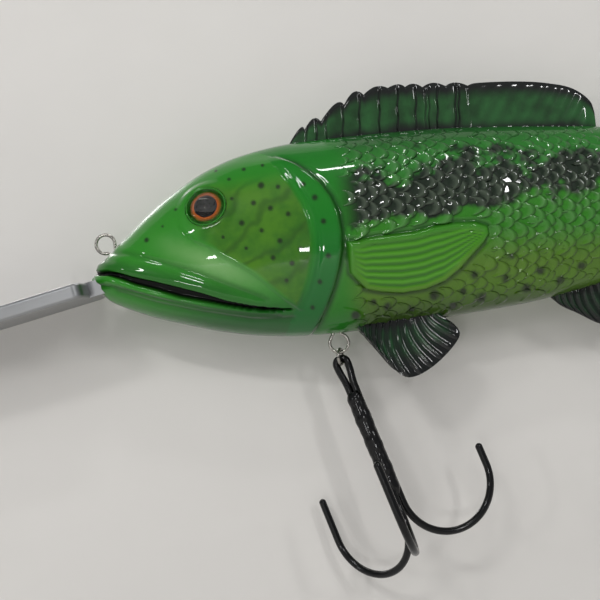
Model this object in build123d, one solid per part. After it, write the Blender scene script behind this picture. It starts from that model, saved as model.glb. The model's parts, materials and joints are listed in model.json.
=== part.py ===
from build123d import *
import math
import os

# Large jointed hard swimbait with a metal diving bib, two treble hooks and a hinged tail section.
# Frame: +X runs towards the tail, +Y towards the fish's right side and +Z towards its back.
# The origin is the centre of the line-tie eye at the nose. Lengths are in millimetres.

# Body
trunk_length = 298.0  # nose tip to tail-fin root
body_depth = 84.5
body_width = 48.0
nose_setback = -6.0  # X of the nose tip
axis_height = -7.0  # Z of the body's axis
side_wall = 3.6
spine_thickness = 11.0  # solid strip along the back that holds the dorsal fin
keel_thickness = 20.0  # solid strip along the belly that holds weights and hook hanger
cavity_stations = (0.1208, 0.7081)  # shares of the trunk length
fit_gap = 0.1  # glue gap around every piece that is set into the body

# Outline of the trunk, nose to tail root: station as a share of the trunk length, top and bottom as
# shares of the body depth above the axis, half-width as a share of half the body width
outline = [
    (0.000, -0.077, -0.124, 0.165),
    (0.007, -0.039, -0.160, 0.355),
    (0.020, 0.007, -0.213, 0.520),
    (0.037, 0.062, -0.249, 0.635),
    (0.054, 0.107, -0.278, 0.710),
    (0.087, 0.205, -0.327, 0.805),
    (0.121, 0.290, -0.367, 0.875),
    (0.171, 0.388, -0.421, 0.942),
    (0.221, 0.453, -0.458, 0.979),
    (0.289, 0.493, -0.489, 1.000),
    (0.356, 0.501, -0.497, 1.000),
    (0.423, 0.503, -0.489, 0.983),
    (0.523, 0.495, -0.469, 0.925),
    (0.624, 0.469, -0.443, 0.825),
    (0.691, 0.445, -0.408, 0.742),
    (0.742, 0.426, -0.373, 0.671),
    (0.809, 0.382, -0.311, 0.571),
    (0.876, 0.320, -0.231, 0.458),
    (0.943, 0.254, -0.157, 0.333),
    (1.000, 0.215, -0.116, 0.242),
]
round_section = 0.5523  # handle length that makes a Bezier quarter an ellipse quarter

# Tail hinge
hinge_station = 0.859  # share of the trunk length
hinge_gap = 0.8  # between the two rounded joint faces
hinge_pin_diameter = 2.5
hinge_pin_overhang = 5.0  # past the middle of each eye
hinge_wire = 2.0
hinge_eye_clearance = 0.08  # radial, pin in eye
hinge_eye_spacing = 22.0
hinge_shank = 15.0
hinge_slot_side_gap = 0.6
hinge_slot_angle = 50.0  # half-angle of the slots that the eyes swing in

# Bib
bib_thickness = 6.6
bib_width = 50.0
bib_length = 92.0
bib_slope = 11.0  # degrees below the body axis, towards the front
bib_shoulder_x = -7.2
bib_height_at_origin = -17.9  # Z of the plate's middle plane at X = 0
bib_tang_width = 19.0
bib_tang_length = 28.0
bib_tip_radius = 16.0
bib_shoulder_radius = 4.0
bib_edge_radius = 1.6
bib_pin_diameter = 2.5
bib_pin_length = 24.0
bib_pin_stations = (6.0, 15.0)

# Bent-wire eyes for the line and the hooks
eye_loop_radius = 4.1  # to the middle of the wire
eye_wire = 1.4
eye_neck_turn = 60.0  # degrees between the shank and the loop's upper flank
eye_open_end = 3.0  # straight end that closes the loop
line_tie_shank = 5.0
line_tie_lean = 30.0  # degrees from straight down, towards the tail
hanger_shank = 14.0
hanger_drop = 4.3  # loop centre below the belly line
front_hanger_station = 0.3443
rear_hanger_station = 0.922

# Link rings
ring_radius = 3.4
ring_wire = 1.2
ring_slack = 0.25
ring_yaw = 20.0
ring_butt_gap = 0.35

# Treble hooks, with blunt rounded ends
hook_wire = 3.2
hook_eye_gap = 2.1
hook_neck_length = 11.0
# Heading from +X towards +Y, top of the eye to the bend's underside, bend radius and straight end
hook_legs = [
    (12.0, 90.5, 20.6, 8.0),
    (141.0, 98.0, 19.4, 18.5),
    (266.0, 87.0, 19.4, 19.5),
]
hook_third_start = 18.0  # below the pivot
hook_contact_gap = 0.02
front_hook_tilt = 17.5  # degrees from hanging, towards the tail
rear_hook_tilt = 0.0

# Eyes
eye_radius = 8.2
eye_station = 0.1772  # share of the trunk length
eye_level = 0.1964  # share of the body depth above the axis
eye_dome_height = 5.2
eye_disc_thickness = 1.0
eye_sink = 2.6  # dome base below the skin
eye_socket_gap = 0.15

# Fins
fin_thickness = 3.0
fin_tab_depth = 7.0
slot_end_gap = 1.2  # at the front and rear of a fin's slot
fins_drawn_for = 298.0  # trunk length that the fin outlines suit; they stretch with it
dorsal_station = 0.302
pelvic_station = 0.3708
pelvic_side = 7.0  # Y of the root
pelvic_splay = 12.0  # degrees outwards
pelvic_tab_depth = 3.5
anal_station = 0.6577
tail_fin_root_overlap = 10.0
tail_fin_length = 42.0
tail_fin_height = 66.0

# Weights, rattle and dowels: stations are shares of the trunk length, levels are shares of the body depth
weight_radius = 6.0
front_weight_station = 0.2718  # of its middle
front_weight_length = 26.0
middle_weight_station = 0.45305
middle_weight_length = 42.0
weight_level = -0.3491
rattle_station = 0.5
rattle_length = 42.0
rattle_level = 0.1065
rattle_bore = 4.0
rattle_wall = 1.0
rattle_cap_thickness = 1.5
rattle_ball_radius = 3.5
rattle_ball_count = 3
rattle_play = 0.02  # between balls and round the end caps
rib_thickness = 4.0
rib_inset = 5.0  # from the tube's end to the middle of the rib
dowel_radius = 1.5
dowel_length = 10.0
# Station and level of each dowel
dowel_places = ((0.1477, 0.2012), (0.7383, 0.2012), (0.2013, -0.3077), (0.5973, -0.3432))

os.makedirs("parts", exist_ok=True)

far = 400.0  # longer than anything here, for cutting tools
half_depth = body_depth / 2
half_width = body_width / 2
fin_stretch = trunk_length / fins_drawn_for


def station_x(share):
    return nose_setback + share * trunk_length


def level_z(share):
    return axis_height + share * body_depth


def span_about(share, length):
    return (station_x(share) - length / 2, station_x(share) + length / 2)


hinge_x = station_x(hinge_station)
tail_root_x = station_x(1.0)
cavity_front, cavity_rear = [station_x(share) for share in cavity_stations]
eye_x, eye_z = station_x(eye_station), level_z(eye_level)
dorsal_start = station_x(dorsal_station)
pelvic_start = station_x(pelvic_station)
anal_start = station_x(anal_station)
front_weight = span_about(front_weight_station, front_weight_length)
middle_weight = span_about(middle_weight_station, middle_weight_length)
weight_z = level_z(weight_level)
rattle_span = span_about(rattle_station, rattle_length)
rattle_z = level_z(rattle_level)


def save(name, shape):
    export_step(shape, f"parts/{name}.step")


def at_share(column, share):
    """Smooth curve through one column of the outline."""
    rows = outline
    share = min(max(share, rows[0][0]), rows[-1][0])
    i = max(k for k in range(len(rows) - 1) if rows[k][0] <= share)

    def slope(k):
        a, b = max(k - 1, 0), min(k + 1, len(rows) - 1)
        return (rows[b][column] - rows[a][column]) / (rows[b][0] - rows[a][0])

    span = rows[i + 1][0] - rows[i][0]
    t = (share - rows[i][0]) / span
    start, end = rows[i][column], rows[i + 1][column]
    return (
        start * (1 + 2 * t) * (1 - t) ** 2
        + end * t**2 * (3 - 2 * t)
        + slope(i) * span * t * (1 - t) ** 2
        - slope(i + 1) * span * t**2 * (1 - t)
    )


def share_of(x):
    return (x - nose_setback) / trunk_length


def top_at(x):
    return level_z(at_share(1, share_of(x)))


def bottom_at(x):
    return level_z(at_share(2, share_of(x)))


def side_at(x):
    return half_width * at_share(3, share_of(x))


def skin_side(x, z):
    """Half-width of the body at height z."""
    middle = (top_at(x) + bottom_at(x)) / 2
    half_height = (top_at(x) - bottom_at(x)) / 2
    return side_at(x) * math.sqrt(max(0.0, 1 - ((z - middle) / half_height) ** 2))


def skin_bottom(x, y):
    """Height of the belly at distance y from the middle plane."""
    middle = (top_at(x) + bottom_at(x)) / 2
    half_height = (top_at(x) - bottom_at(x)) / 2
    return middle - half_height * math.sqrt(1 - (y / side_at(x)) ** 2)


def half_section(x, side, top, bottom, reach):
    """Closed half ellipse at station x, flat on the middle plane."""
    middle, half_height = (top + bottom) / 2, (top - bottom) / 2
    handle_y, handle_z = side * reach * round_section, half_height * round_section
    flank = (x, side * reach, middle)
    upper = Bezier((x, 0, top), (x, handle_y, top), (x, side * reach, middle + handle_z), flank)
    lower = Bezier(flank, (x, side * reach, middle - handle_z), (x, handle_y, bottom), (x, 0, bottom))
    return Wire([upper, lower, Line((x, 0, bottom), (x, 0, top))])


def half_trunk(side):
    stations = [station_x(row[0]) for row in outline]
    return Solid.make_loft([half_section(x, side, top_at(x), bottom_at(x), side_at(x)) for x in stations])


def half_cavity(side):
    """Room inside one half, between the solid spine and keel."""
    count = 8
    stations = [cavity_front + (cavity_rear - cavity_front) * k / (count - 1) for k in range(count)]
    sections = [
        half_section(
            x, side, top_at(x) - spine_thickness, bottom_at(x) + keel_thickness, side_at(x) - side_wall
        )
        for x in stations
    ]
    return Solid.make_loft(sections)


def block(x0, x1, y0, y1, z0, z1):
    return Pos((x0 + x1) / 2, (y0 + y1) / 2, (z0 + z1) / 2) * Box(x1 - x0, y1 - y0, z1 - z0)


def rod(start, end, radius):
    start, end = Vector(*start), Vector(*end)
    along = end - start
    return Plane(origin=start, z_dir=along) * Cylinder(
        radius, along.length, align=(Align.CENTER, Align.CENTER, Align.MIN)
    )


def sweep_wire(edges, diameter):
    """Round wire of that diameter along joined tangent edges."""
    path = Wire(edges)
    face = Plane(origin=path @ 0, z_dir=path % 0) * Circle(diameter / 2)
    return sweep(face, path=path)


def arc_points(centre, radius, start, end):
    """Start, middle and end of an arc about a 2-D centre, angles in degrees."""
    return [
        (centre[0] + radius * math.cos(math.radians(a)), centre[1] + radius * math.sin(math.radians(a)))
        for a in (start, (start + end) / 2, end)
    ]


def bent_eye(plane, shank, wire):
    """Open teardrop eye. The plane's origin is the loop's centre and its +Y runs up the shank."""
    turn = math.radians(eye_neck_turn)
    neck = 2 * eye_loop_radius * math.sin(turn)
    loop = arc_points((0, 0), eye_loop_radius, eye_neck_turn, eye_neck_turn - 270)
    bend = arc_points((eye_loop_radius, neck), eye_loop_radius, 180, 180 + eye_neck_turn)
    end_heading = math.radians(eye_neck_turn - 270 - 90)
    open_end = (
        loop[2][0] + eye_open_end * math.cos(end_heading),
        loop[2][1] + eye_open_end * math.sin(end_heading),
    )
    edges = [
        Line((0, neck + shank), bend[0]),
        ThreePointArc(*bend),
        ThreePointArc(*loop),
        Line(loop[2], open_end),
    ]
    return sweep_wire([plane * edge for edge in edges], wire)


def line_tie(wire):
    lean = math.radians(line_tie_lean)
    down_shank = Vector(math.sin(lean), 0, -math.cos(lean))
    across = Vector(-math.cos(lean), 0, -math.sin(lean))
    plane = Plane(origin=(0, 0, 0), x_dir=across, z_dir=across.cross(down_shank))
    return bent_eye(plane, line_tie_shank, wire)


def hanger(x, wire):
    z = bottom_at(x) - hanger_drop
    return bent_eye(Plane(origin=(x, 0, z), x_dir=(1, 0, 0), z_dir=(0, -1, 0)), hanger_shank, wire)


# Link ring and treble hook places, from the hanger that they hang on
def ring_pivot(x):
    return Vector(x, 0, bottom_at(x) - hanger_drop - eye_loop_radius)


def hook_pivot(x):
    return ring_pivot(x) + Vector(0, 0, (eye_wire + ring_wire) / 2 + ring_slack - 2 * ring_radius)


def link_ring(x):
    centre = hook_pivot(x) + Vector(0, 0, ring_radius)
    yaw = math.radians(ring_yaw)
    across = (math.sin(yaw), math.cos(yaw), 0)
    plane = Plane(origin=centre, x_dir=across, z_dir=(math.cos(yaw), -math.sin(yaw), 0))
    half_gap = math.degrees(ring_butt_gap / 2 / ring_radius)
    turn = arc_points((0, 0), ring_radius, 180 + half_gap, 540 - half_gap)
    return sweep_wire([plane * ThreePointArc(*turn)], ring_wire)


def heading_vector(degrees):
    return Vector(math.cos(math.radians(degrees)), math.sin(math.radians(degrees)), 0)


def shank_spot(index):
    """Where that wire runs in the shank: three touch, the first two below the eye's flanks."""
    reach = (hook_wire + hook_contact_gap) / math.sqrt(3)
    return heading_vector(30 - ring_yaw + 120 * index) * reach


def hook_leg(index, start_z):
    """Edges of one hook from its straight shank to its blunt end, hanging along -Z from the pivot."""
    heading, length, bend_radius, straight_end = hook_legs[index]
    out = heading_vector(heading)
    root = shank_spot(index)
    bend_z = hook_eye_top() - length + hook_wire / 2 + bend_radius
    bend_start = root + Vector(0, 0, bend_z)
    bend_low = bend_start + out * bend_radius - Vector(0, 0, bend_radius)
    bend_end = bend_start + out * (2 * bend_radius)
    return [
        Line(root + Vector(0, 0, start_z), bend_start),
        ThreePointArc(bend_start, bend_low, bend_end),
        Line(bend_end, bend_end + Vector(0, 0, straight_end)),
    ]


def hook_eye_radius():
    return (hook_eye_gap + hook_wire) / 2


def hook_eye_top():
    return hook_eye_radius() + hook_wire / 2


def rounded(wire_solid, ends):
    """Wire with a half-ball on each named end."""
    for end in ends:
        wire_solid = wire_solid + Pos(*end) * Sphere(hook_wire / 2)
    return wire_solid


def double_hook():
    """Two hooks bent from one wire that forms the eye."""
    spots = [shank_spot(0), shank_spot(1)]
    middle = (spots[0] + spots[1]) * 0.5
    across = (spots[0] - spots[1]).normalized()
    leg_offset = (spots[0] - spots[1]).length / 2
    eye = hook_eye_radius()
    shift = eye - leg_offset
    turn = 2 * math.atan(shift / hook_neck_length)
    bend = hook_neck_length / (2 * math.sin(turn))
    half = turn / 2

    def place(u, z):
        return middle + across * u + Vector(0, 0, z)

    def neck(sign):
        """Two arcs from the eye's flank down to the shank."""
        inner = eye - bend
        outer = leg_offset + bend
        upper = [place(sign * (inner + bend * math.cos(a)), -bend * math.sin(a)) for a in (0, half, turn)]
        lower = [
            place(sign * (outer - bend * math.cos(a)), -hook_neck_length + bend * math.sin(a))
            for a in (turn, half, 0)
        ]
        return [ThreePointArc(*upper), ThreePointArc(*lower)]

    crown = ThreePointArc(place(eye, 0), place(0, eye), place(-eye, 0))
    first = neck(1) + hook_leg(0, -hook_neck_length)
    second = neck(-1) + hook_leg(1, -hook_neck_length)
    ends = [leg[-1] @ 1 for leg in (first, second)]
    return rounded(sweep_wire(first[::-1] + [crown] + second, hook_wire), ends)


def single_hook():
    """Third hook, brazed along the other two."""
    leg = hook_leg(2, -hook_third_start)
    return rounded(sweep_wire(leg, hook_wire), [leg[0] @ 0, leg[-1] @ 1])


def hung(x, tilt, hook):
    """Hook moved to its ring and turned to its rest tilt."""
    yaw = math.radians(ring_yaw)
    axis = Axis(origin=(0, 0, 0), direction=(math.sin(yaw), math.cos(yaw), 0))
    pivot = hook_pivot(x)
    return Pos(pivot.X, pivot.Y, pivot.Z) * hook.rotate(axis, -tilt)


# Bib
def bib_frame():
    """Plane in the plate's middle plane: +X towards the tail, origin below the line tie."""
    slope = math.radians(bib_slope)
    return Plane(
        origin=(0, 0, bib_height_at_origin),
        x_dir=(math.cos(slope), 0, math.sin(slope)),
        z_dir=(-math.sin(slope), 0, math.cos(slope)),
    )


def flat_box(x0, x1, width):
    return Pos((x0 + x1) / 2, 0) * Rectangle(x1 - x0, width)


def bib_plate():
    shoulder = bib_shoulder_x / math.cos(math.radians(bib_slope))
    tip = shoulder - bib_length
    blade = flat_box(tip, shoulder, bib_width)
    blade = fillet(blade.vertices().group_by(Axis.X)[0], bib_tip_radius)
    blade = fillet(blade.vertices().group_by(Axis.X)[-1], bib_shoulder_radius)
    solid = extrude(blade, bib_thickness / 2, both=True)
    faces = solid.faces().sort_by(Axis.Z)
    solid = fillet(faces[0].edges() + faces[-1].edges(), bib_edge_radius)
    tang = flat_box(shoulder - bib_edge_radius, shoulder + bib_tang_length, bib_tang_width)
    return bib_frame() * (solid + extrude(tang, bib_thickness / 2, both=True))


def bib_slot():
    shoulder = bib_shoulder_x / math.cos(math.radians(bib_slope))
    rear = shoulder + bib_tang_length + fit_gap
    opening = flat_box(shoulder - bib_edge_radius, rear, bib_tang_width + 2 * fit_gap)
    return bib_frame() * extrude(opening, bib_thickness / 2 + fit_gap, both=True)


def bib_pins(gap):
    pins = []
    for x in bib_pin_stations:
        z = bib_height_at_origin + x * math.tan(math.radians(bib_slope))
        half = bib_pin_length / 2 + gap
        pins.append(rod((x, -half, z), (x, half, z), bib_pin_diameter / 2 + gap))
    return pins


# Fins
dorsal_lobes = [  # peak behind the fin's front, peak height, notch behind the front, notch height
    (5.3, 6.2, 7.3, 5.3),
    (11.5, 9.7, 14.7, 8.1),
    (21.7, 14.9, 25.5, 14.0),
    (30.3, 19.1, 34.4, 17.4),
    (40.0, 20.5, 45.2, 19.4),
    (49.7, 20.6, 52.7, 19.1),
    (56.3, 20.3, 60.2, 18.5),
    (65.0, 20.1, 70.2, 18.4),
    (74.6, 19.8, 79.8, 18.2),
]
dorsal_sail = [  # smooth rear part, as distance behind the fin's front and height over the back
    (83.0, 19.2),
    (94.0, 19.6),
    (106.5, 19.5),
    (115.6, 18.7),
    (123.0, 17.2),
    (128.5, 14.4),
    (132.3, 10.6),
    (133.4, 6.2),
    (133.0, 0.0),
]
pelvic_edge = [  # distance behind the root's front and depth below the root line
    (0.0, 0.0),
    (7.5, 10.8),
    (15.7, 22.4),
    (22.3, 24.6),
    (32.5, 20.2),
    (42.2, 11.8),
    (42.2, 6.4),
    (36.0, 0.0),
]
anal_edge = [
    (0.0, 0.0),
    (4.5, 5.0),
    (10.5, 9.5),
    (20.0, 17.0),
    (28.0, 20.0),
    (35.0, 19.5),
    (41.5, 14.5),
    (43.0, 9.0),
    (40.0, 4.0),
    (36.0, 0.0),
]


def fin_x(start, u):
    return start + fin_stretch * u


def dorsal_outline():
    def point(u, v):
        x = fin_x(dorsal_start, u)
        return (x, top_at(x) + v)

    edges = []
    last = point(0, 0)
    for peak_u, peak_v, notch_u, notch_v in dorsal_lobes:
        notch = point(notch_u, notch_v)
        edges.append(ThreePointArc(last, point(peak_u, peak_v), notch))
        last = notch
    sail = [last] + [point(u, v) for u, v in dorsal_sail]
    edges.append(Spline(*sail))
    return edges, point(0, 0), sail[-1]


def upright_plate(outline_edges, thickness):
    """Plate in the middle plane from a closed outline in X and Z."""
    plane = Plane(origin=(0, 0, 0), x_dir=(1, 0, 0), z_dir=(0, -1, 0))
    face = make_face(outline_edges)
    return extrude(plane * face, thickness / 2, both=True)


def dorsal_tab_line(depth, extra):
    """Points that follow the back at that depth, running on past both ends of the fin."""
    front = dorsal_start - extra
    rear = fin_x(dorsal_start, dorsal_sail[-1][0]) + extra
    count = 9
    stations = [front + (rear - front) * k / (count - 1) for k in range(count)]
    return [(x, top_at(x) - depth) for x in stations]


def dorsal_fin():
    edges, front, rear = dorsal_outline()
    under = dorsal_tab_line(fin_tab_depth, 0)
    edges = edges + [Line(rear, under[-1]), Spline(*under[::-1]), Line(under[0], front)]
    return upright_plate(edges, fin_thickness)


def dorsal_slot():
    """Slot for the dorsal tab, a little deeper, longer and wider than it and open past the skin."""
    deep = dorsal_tab_line(fin_tab_depth + fit_gap, slot_end_gap)
    outer = [(x, z + 3 * fin_tab_depth) for x, z in deep]
    edges = [Spline(*deep), Line(deep[-1], outer[-1]), Spline(*outer[::-1]), Line(outer[0], deep[0])]
    return upright_plate(edges, fin_thickness + 2 * fit_gap)


def belly_fin(start, edge, root_z, tab_depth):
    """Fin below a straight root line, with its tab above it, in the middle plane."""
    root = [(fin_x(start, u), root_z(fin_x(start, u)) - v) for u, v in edge]
    front, rear = root[0], root[-1]
    tab = [(front[0], front[1] + tab_depth), (rear[0], rear[1] + tab_depth)]
    edges = [Spline(*root), Line(rear, tab[1]), Line(tab[1], tab[0]), Line(tab[0], front)]
    return upright_plate(edges, fin_thickness)


def belly_slot(start, edge, root_z, tab_depth):
    """Slot for a straight tab, open past the skin."""
    end = fin_x(start, edge[-1][0])
    rise = (root_z(end) - root_z(start)) / (end - start)
    deep = root_z(start) + tab_depth + fit_gap
    inner = [(x, deep + rise * (x - start)) for x in (start - slot_end_gap, end + slot_end_gap)]
    outer = [(x, z - 2 * tab_depth - 4) for x, z in inner]
    corners = inner + outer[::-1]
    edges = [Line(corner, following) for corner, following in zip(corners, corners[1:] + corners[:1])]
    return upright_plate(edges, fin_thickness + 2 * fit_gap)


def pelvic_root(x):
    """Straight root line between the belly heights at the two ends of the fin."""
    start, end = pelvic_start, fin_x(pelvic_start, pelvic_edge[-1][0])
    a, b = skin_bottom(start, pelvic_side), skin_bottom(end, pelvic_side)
    return a + (b - a) * (x - start) / (end - start)


def splayed(plate, side):
    """Plate turned outwards about its root line and moved to the fish's side."""
    start, end = pelvic_start, fin_x(pelvic_start, pelvic_edge[-1][0])
    a, b = pelvic_root(start), pelvic_root(end)
    axis = Axis(origin=(start, 0, a), direction=(end - start, 0, b - a))
    return Pos(0, side * pelvic_side, 0) * plate.rotate(axis, side * pelvic_splay)


def tail_fin():
    root_x = tail_root_x
    top, bottom = top_at(root_x), bottom_at(root_x)
    middle = (top + bottom) / 2
    half = tail_fin_height / 2
    end = root_x + tail_fin_length
    inset = 1.2  # keeps the fin's root inside the skin
    points = [
        (root_x, top - inset),
        (root_x + 0.25 * tail_fin_length, top + 0.25 * (half - (top - middle))),
        (end - 0.2 * tail_fin_length, middle + half),
        (end - 0.04 * tail_fin_length, middle + 0.72 * half),
        (end, middle),
        (end - 0.04 * tail_fin_length, middle - 0.72 * half),
        (end - 0.2 * tail_fin_length, middle - half),
        (root_x + 0.25 * tail_fin_length, bottom - 0.25 * (half - (middle - bottom))),
        (root_x, bottom + inset),
    ]
    tab_front = root_x - tail_fin_root_overlap
    edges = [
        Spline(*points),
        Line(points[-1], (tab_front, bottom + 2 * inset)),
        Line((tab_front, bottom + 2 * inset), (tab_front, top - 2 * inset)),
        Line((tab_front, top - 2 * inset), points[0]),
    ]
    return upright_plate(edges, fin_thickness)


def tail_fin_slot():
    front = tail_root_x - tail_fin_root_overlap - fit_gap
    half = fin_thickness / 2 + fit_gap
    return block(front, tail_root_x + far, -half, half, -far, far)


# Eyes
def eye_plane(side):
    """Plane on the skin with its +Z along the outward normal."""
    x, z = eye_x, eye_z
    step = 0.5
    y = skin_side(x, z)
    along_x = (skin_side(x + step, z) - skin_side(x - step, z)) / (2 * step)
    along_z = (skin_side(x, z + step) - skin_side(x, z - step)) / (2 * step)
    normal = Vector(-along_x, side, -along_z)
    return Plane(origin=(x, side * y, z), x_dir=Vector(1, side * along_x, 0), z_dir=normal)


def eye_parts(side):
    """Iris disc and clear dome."""
    base = -eye_sink
    disc = Pos(0, 0, base - eye_disc_thickness / 2) * Cylinder(eye_radius, eye_disc_thickness)
    ball = (eye_radius**2 + eye_dome_height**2) / (2 * eye_dome_height)
    dome = Pos(0, 0, base + eye_dome_height - ball) * Sphere(ball)
    dome = dome & (Pos(0, 0, base + ball) * Box(4 * ball, 4 * ball, 2 * ball))
    plane = eye_plane(side)
    return plane * disc, plane * dome


def eye_socket(side):
    depth = eye_sink + eye_disc_thickness
    socket = Pos(0, 0, far / 8 - depth) * Cylinder(eye_radius + eye_socket_gap, far / 4)
    return eye_plane(side) * socket


# Hinge between trunk and tail section
def hinge_radius():
    return side_at(hinge_x) + 0.5


def hinge_heights():
    middle = (top_at(hinge_x) + bottom_at(hinge_x)) / 2
    return (middle + hinge_eye_spacing / 2, middle - hinge_eye_spacing / 2)


def hinge_eye_mean():
    return hinge_pin_diameter / 2 + hinge_eye_clearance + hinge_wire / 2


def hinge_eye(z, gap):
    """Closed eye around the pin with its shank set into the trunk."""
    mean = hinge_eye_mean()
    face = hinge_x - hinge_radius() - hinge_gap
    loop = Pos(hinge_x, 0, z) * Torus(mean, hinge_wire / 2)
    shank = rod((face - hinge_shank, 0, z), (hinge_x - mean, 0, z), hinge_wire / 2 + gap)
    if gap:
        return shank
    bore = rod((hinge_x, 0, z - hinge_wire), (hinge_x, 0, z + hinge_wire), mean - hinge_wire / 2)
    return loop + (shank - bore)


def hinge_slot(z):
    """Room in the tail section for one eye and its swing."""
    height = hinge_wire + 2 * hinge_slot_side_gap
    hub = hinge_eye_mean() + hinge_wire / 2 + hinge_slot_side_gap
    reach = 2 * hinge_radius()
    side = reach * math.tan(math.radians(hinge_slot_angle))
    wedge = make_face(Polyline((0, 0), (-reach, side), (-reach, -side), close=True))
    wedge = extrude(wedge, height / 2, both=True)
    return Pos(hinge_x, 0, z) * (wedge + Cylinder(hub, height))


def hinge_pin(gap):
    upper, lower = hinge_heights()
    over = hinge_pin_overhang + gap
    return rod((hinge_x, 0, lower - over), (hinge_x, 0, upper + over), hinge_pin_diameter / 2 + gap)


# Inner pieces
def weight(span, gap):
    return rod((span[0] - gap, 0, weight_z), (span[1] + gap, 0, weight_z), weight_radius + gap)


def rattle_tube():
    outer = rattle_bore + rattle_wall
    tube = rod((rattle_span[0], 0, rattle_z), (rattle_span[1], 0, rattle_z), outer)
    inner = rod(
        (rattle_span[0] - 1, 0, rattle_z), (rattle_span[1] + 1, 0, rattle_z), rattle_bore
    )
    return tube - inner


def rattle_caps():
    caps = []
    for end, inward in ((rattle_span[0], 1), (rattle_span[1], -1)):
        start = (end, 0, rattle_z)
        stop = (end + inward * rattle_cap_thickness, 0, rattle_z)
        caps.append(rod(start, stop, rattle_bore - rattle_play))
    return caps


def rattle_balls():
    middle = (rattle_span[0] + rattle_span[1]) / 2
    pitch = 2 * rattle_ball_radius + rattle_play
    first = middle - pitch * (rattle_ball_count - 1) / 2
    ball = Sphere(rattle_ball_radius)
    return [Pos(first + pitch * k, 0, rattle_z) * ball for k in range(rattle_ball_count)]


def rib_centres():
    return (rattle_span[0] + rib_inset, rattle_span[1] - rib_inset)


def dowels(gap):
    return [
        rod((x, -dowel_length / 2 - gap, z), (x, dowel_length / 2 + gap, z), dowel_radius + gap)
        for x, z in [(station_x(share), level_z(level)) for share, level in dowel_places]
    ]


front_hanger_x = station_x(front_hanger_station)
rear_hanger_x = station_x(rear_hanger_station)
eye_bore_wire = eye_wire + 2 * fit_gap

# Trunk halves
joint_socket = rod((hinge_x, 0, -far), (hinge_x, 0, far), hinge_radius() + hinge_gap)
joint_socket = joint_socket + block(hinge_x, hinge_x + far, -far, far, -far, far)
pelvic_slot = belly_slot(pelvic_start, pelvic_edge, pelvic_root, pelvic_tab_depth)
trunk_cutters = [
    joint_socket,
    bib_slot(),
    line_tie(eye_bore_wire),
    hanger(front_hanger_x, eye_bore_wire),
    weight(front_weight, fit_gap),
    weight(middle_weight, fit_gap),
    dorsal_slot(),
    belly_slot(anal_start, anal_edge, bottom_at, fin_tab_depth),
]
trunk_cutters += bib_pins(fit_gap)
trunk_cutters += dowels(fit_gap)
trunk_cutters += [hinge_eye(z, fit_gap) for z in hinge_heights()]

tube_room = rod(
    (rattle_span[0] - fit_gap, 0, rattle_z),
    (rattle_span[1] + fit_gap, 0, rattle_z),
    rattle_bore + rattle_wall + fit_gap,
)
ribs = [block(x - rib_thickness / 2, x + rib_thickness / 2, -far, far, -far, far) for x in rib_centres()]

for name, side in (("left_trunk_shell", -1), ("right_trunk_shell", 1)):
    room = half_cavity(side) - ribs
    shell = half_trunk(side) - room - tube_room - trunk_cutters
    shell = shell - eye_socket(side) - splayed(pelvic_slot, side)
    save(name, shell)

# Tail-section halves
tail_space = rod((hinge_x, 0, -far), (hinge_x, 0, far), hinge_radius())
tail_space = tail_space + block(hinge_x, hinge_x + far, -far, far, -far, far)
tail_cutters = [hinge_slot(z) for z in hinge_heights()]
tail_cutters += [hinge_pin(fit_gap / 2), hanger(rear_hanger_x, eye_bore_wire), tail_fin_slot()]
for name, side in (("left_tail_shell", -1), ("right_tail_shell", 1)):
    save(name, (half_trunk(side) & tail_space) - tail_cutters)

# Hinge, bib and wire eyes
for name, z in zip(("upper_hinge_eye", "lower_hinge_eye"), hinge_heights()):
    save(name, hinge_eye(z, 0))
save("hinge_pin", hinge_pin(0))
save("bib", bib_plate() - bib_pins(fit_gap / 2))
save("bib_pins", Compound(bib_pins(0)))
save("line_tie_eye", line_tie(eye_wire))
save("front_hook_hanger", hanger(front_hanger_x, eye_wire))
save("rear_hook_hanger", hanger(rear_hanger_x, eye_wire))

# Rings and treble hooks
for end, x, tilt in (("front", front_hanger_x, front_hook_tilt), ("rear", rear_hanger_x, rear_hook_tilt)):
    save(f"{end}_link_ring", link_ring(x))
    save(f"{end}_hook_double", hung(x, tilt, double_hook()))
    save(f"{end}_hook_single", hung(x, tilt, single_hook()))

# Fins
save("dorsal_fin", dorsal_fin())
save("anal_fin", belly_fin(anal_start, anal_edge, bottom_at, fin_tab_depth))
pelvic = belly_fin(pelvic_start, pelvic_edge, pelvic_root, pelvic_tab_depth)
save("left_pelvic_fin", splayed(pelvic, -1))
save("right_pelvic_fin", splayed(pelvic, 1))
save("tail_fin", tail_fin())

# Eyes
for name, side in (("left", -1), ("right", 1)):
    disc, dome = eye_parts(side)
    save(f"{name}_eye_iris", disc)
    save(f"{name}_eye_dome", dome)

# Inside the body
save("front_weight", weight(front_weight, 0))
save("middle_weight", weight(middle_weight, 0))
save("rattle_tube", rattle_tube())
save("rattle_caps", Compound(rattle_caps()))
save("rattle_balls", Compound(rattle_balls()))
save("seam_dowels", Compound(dowels(0)))
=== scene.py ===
import json
import math

import bmesh
import bpy
import numpy as np
from mathutils import Matrix, Vector


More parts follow.
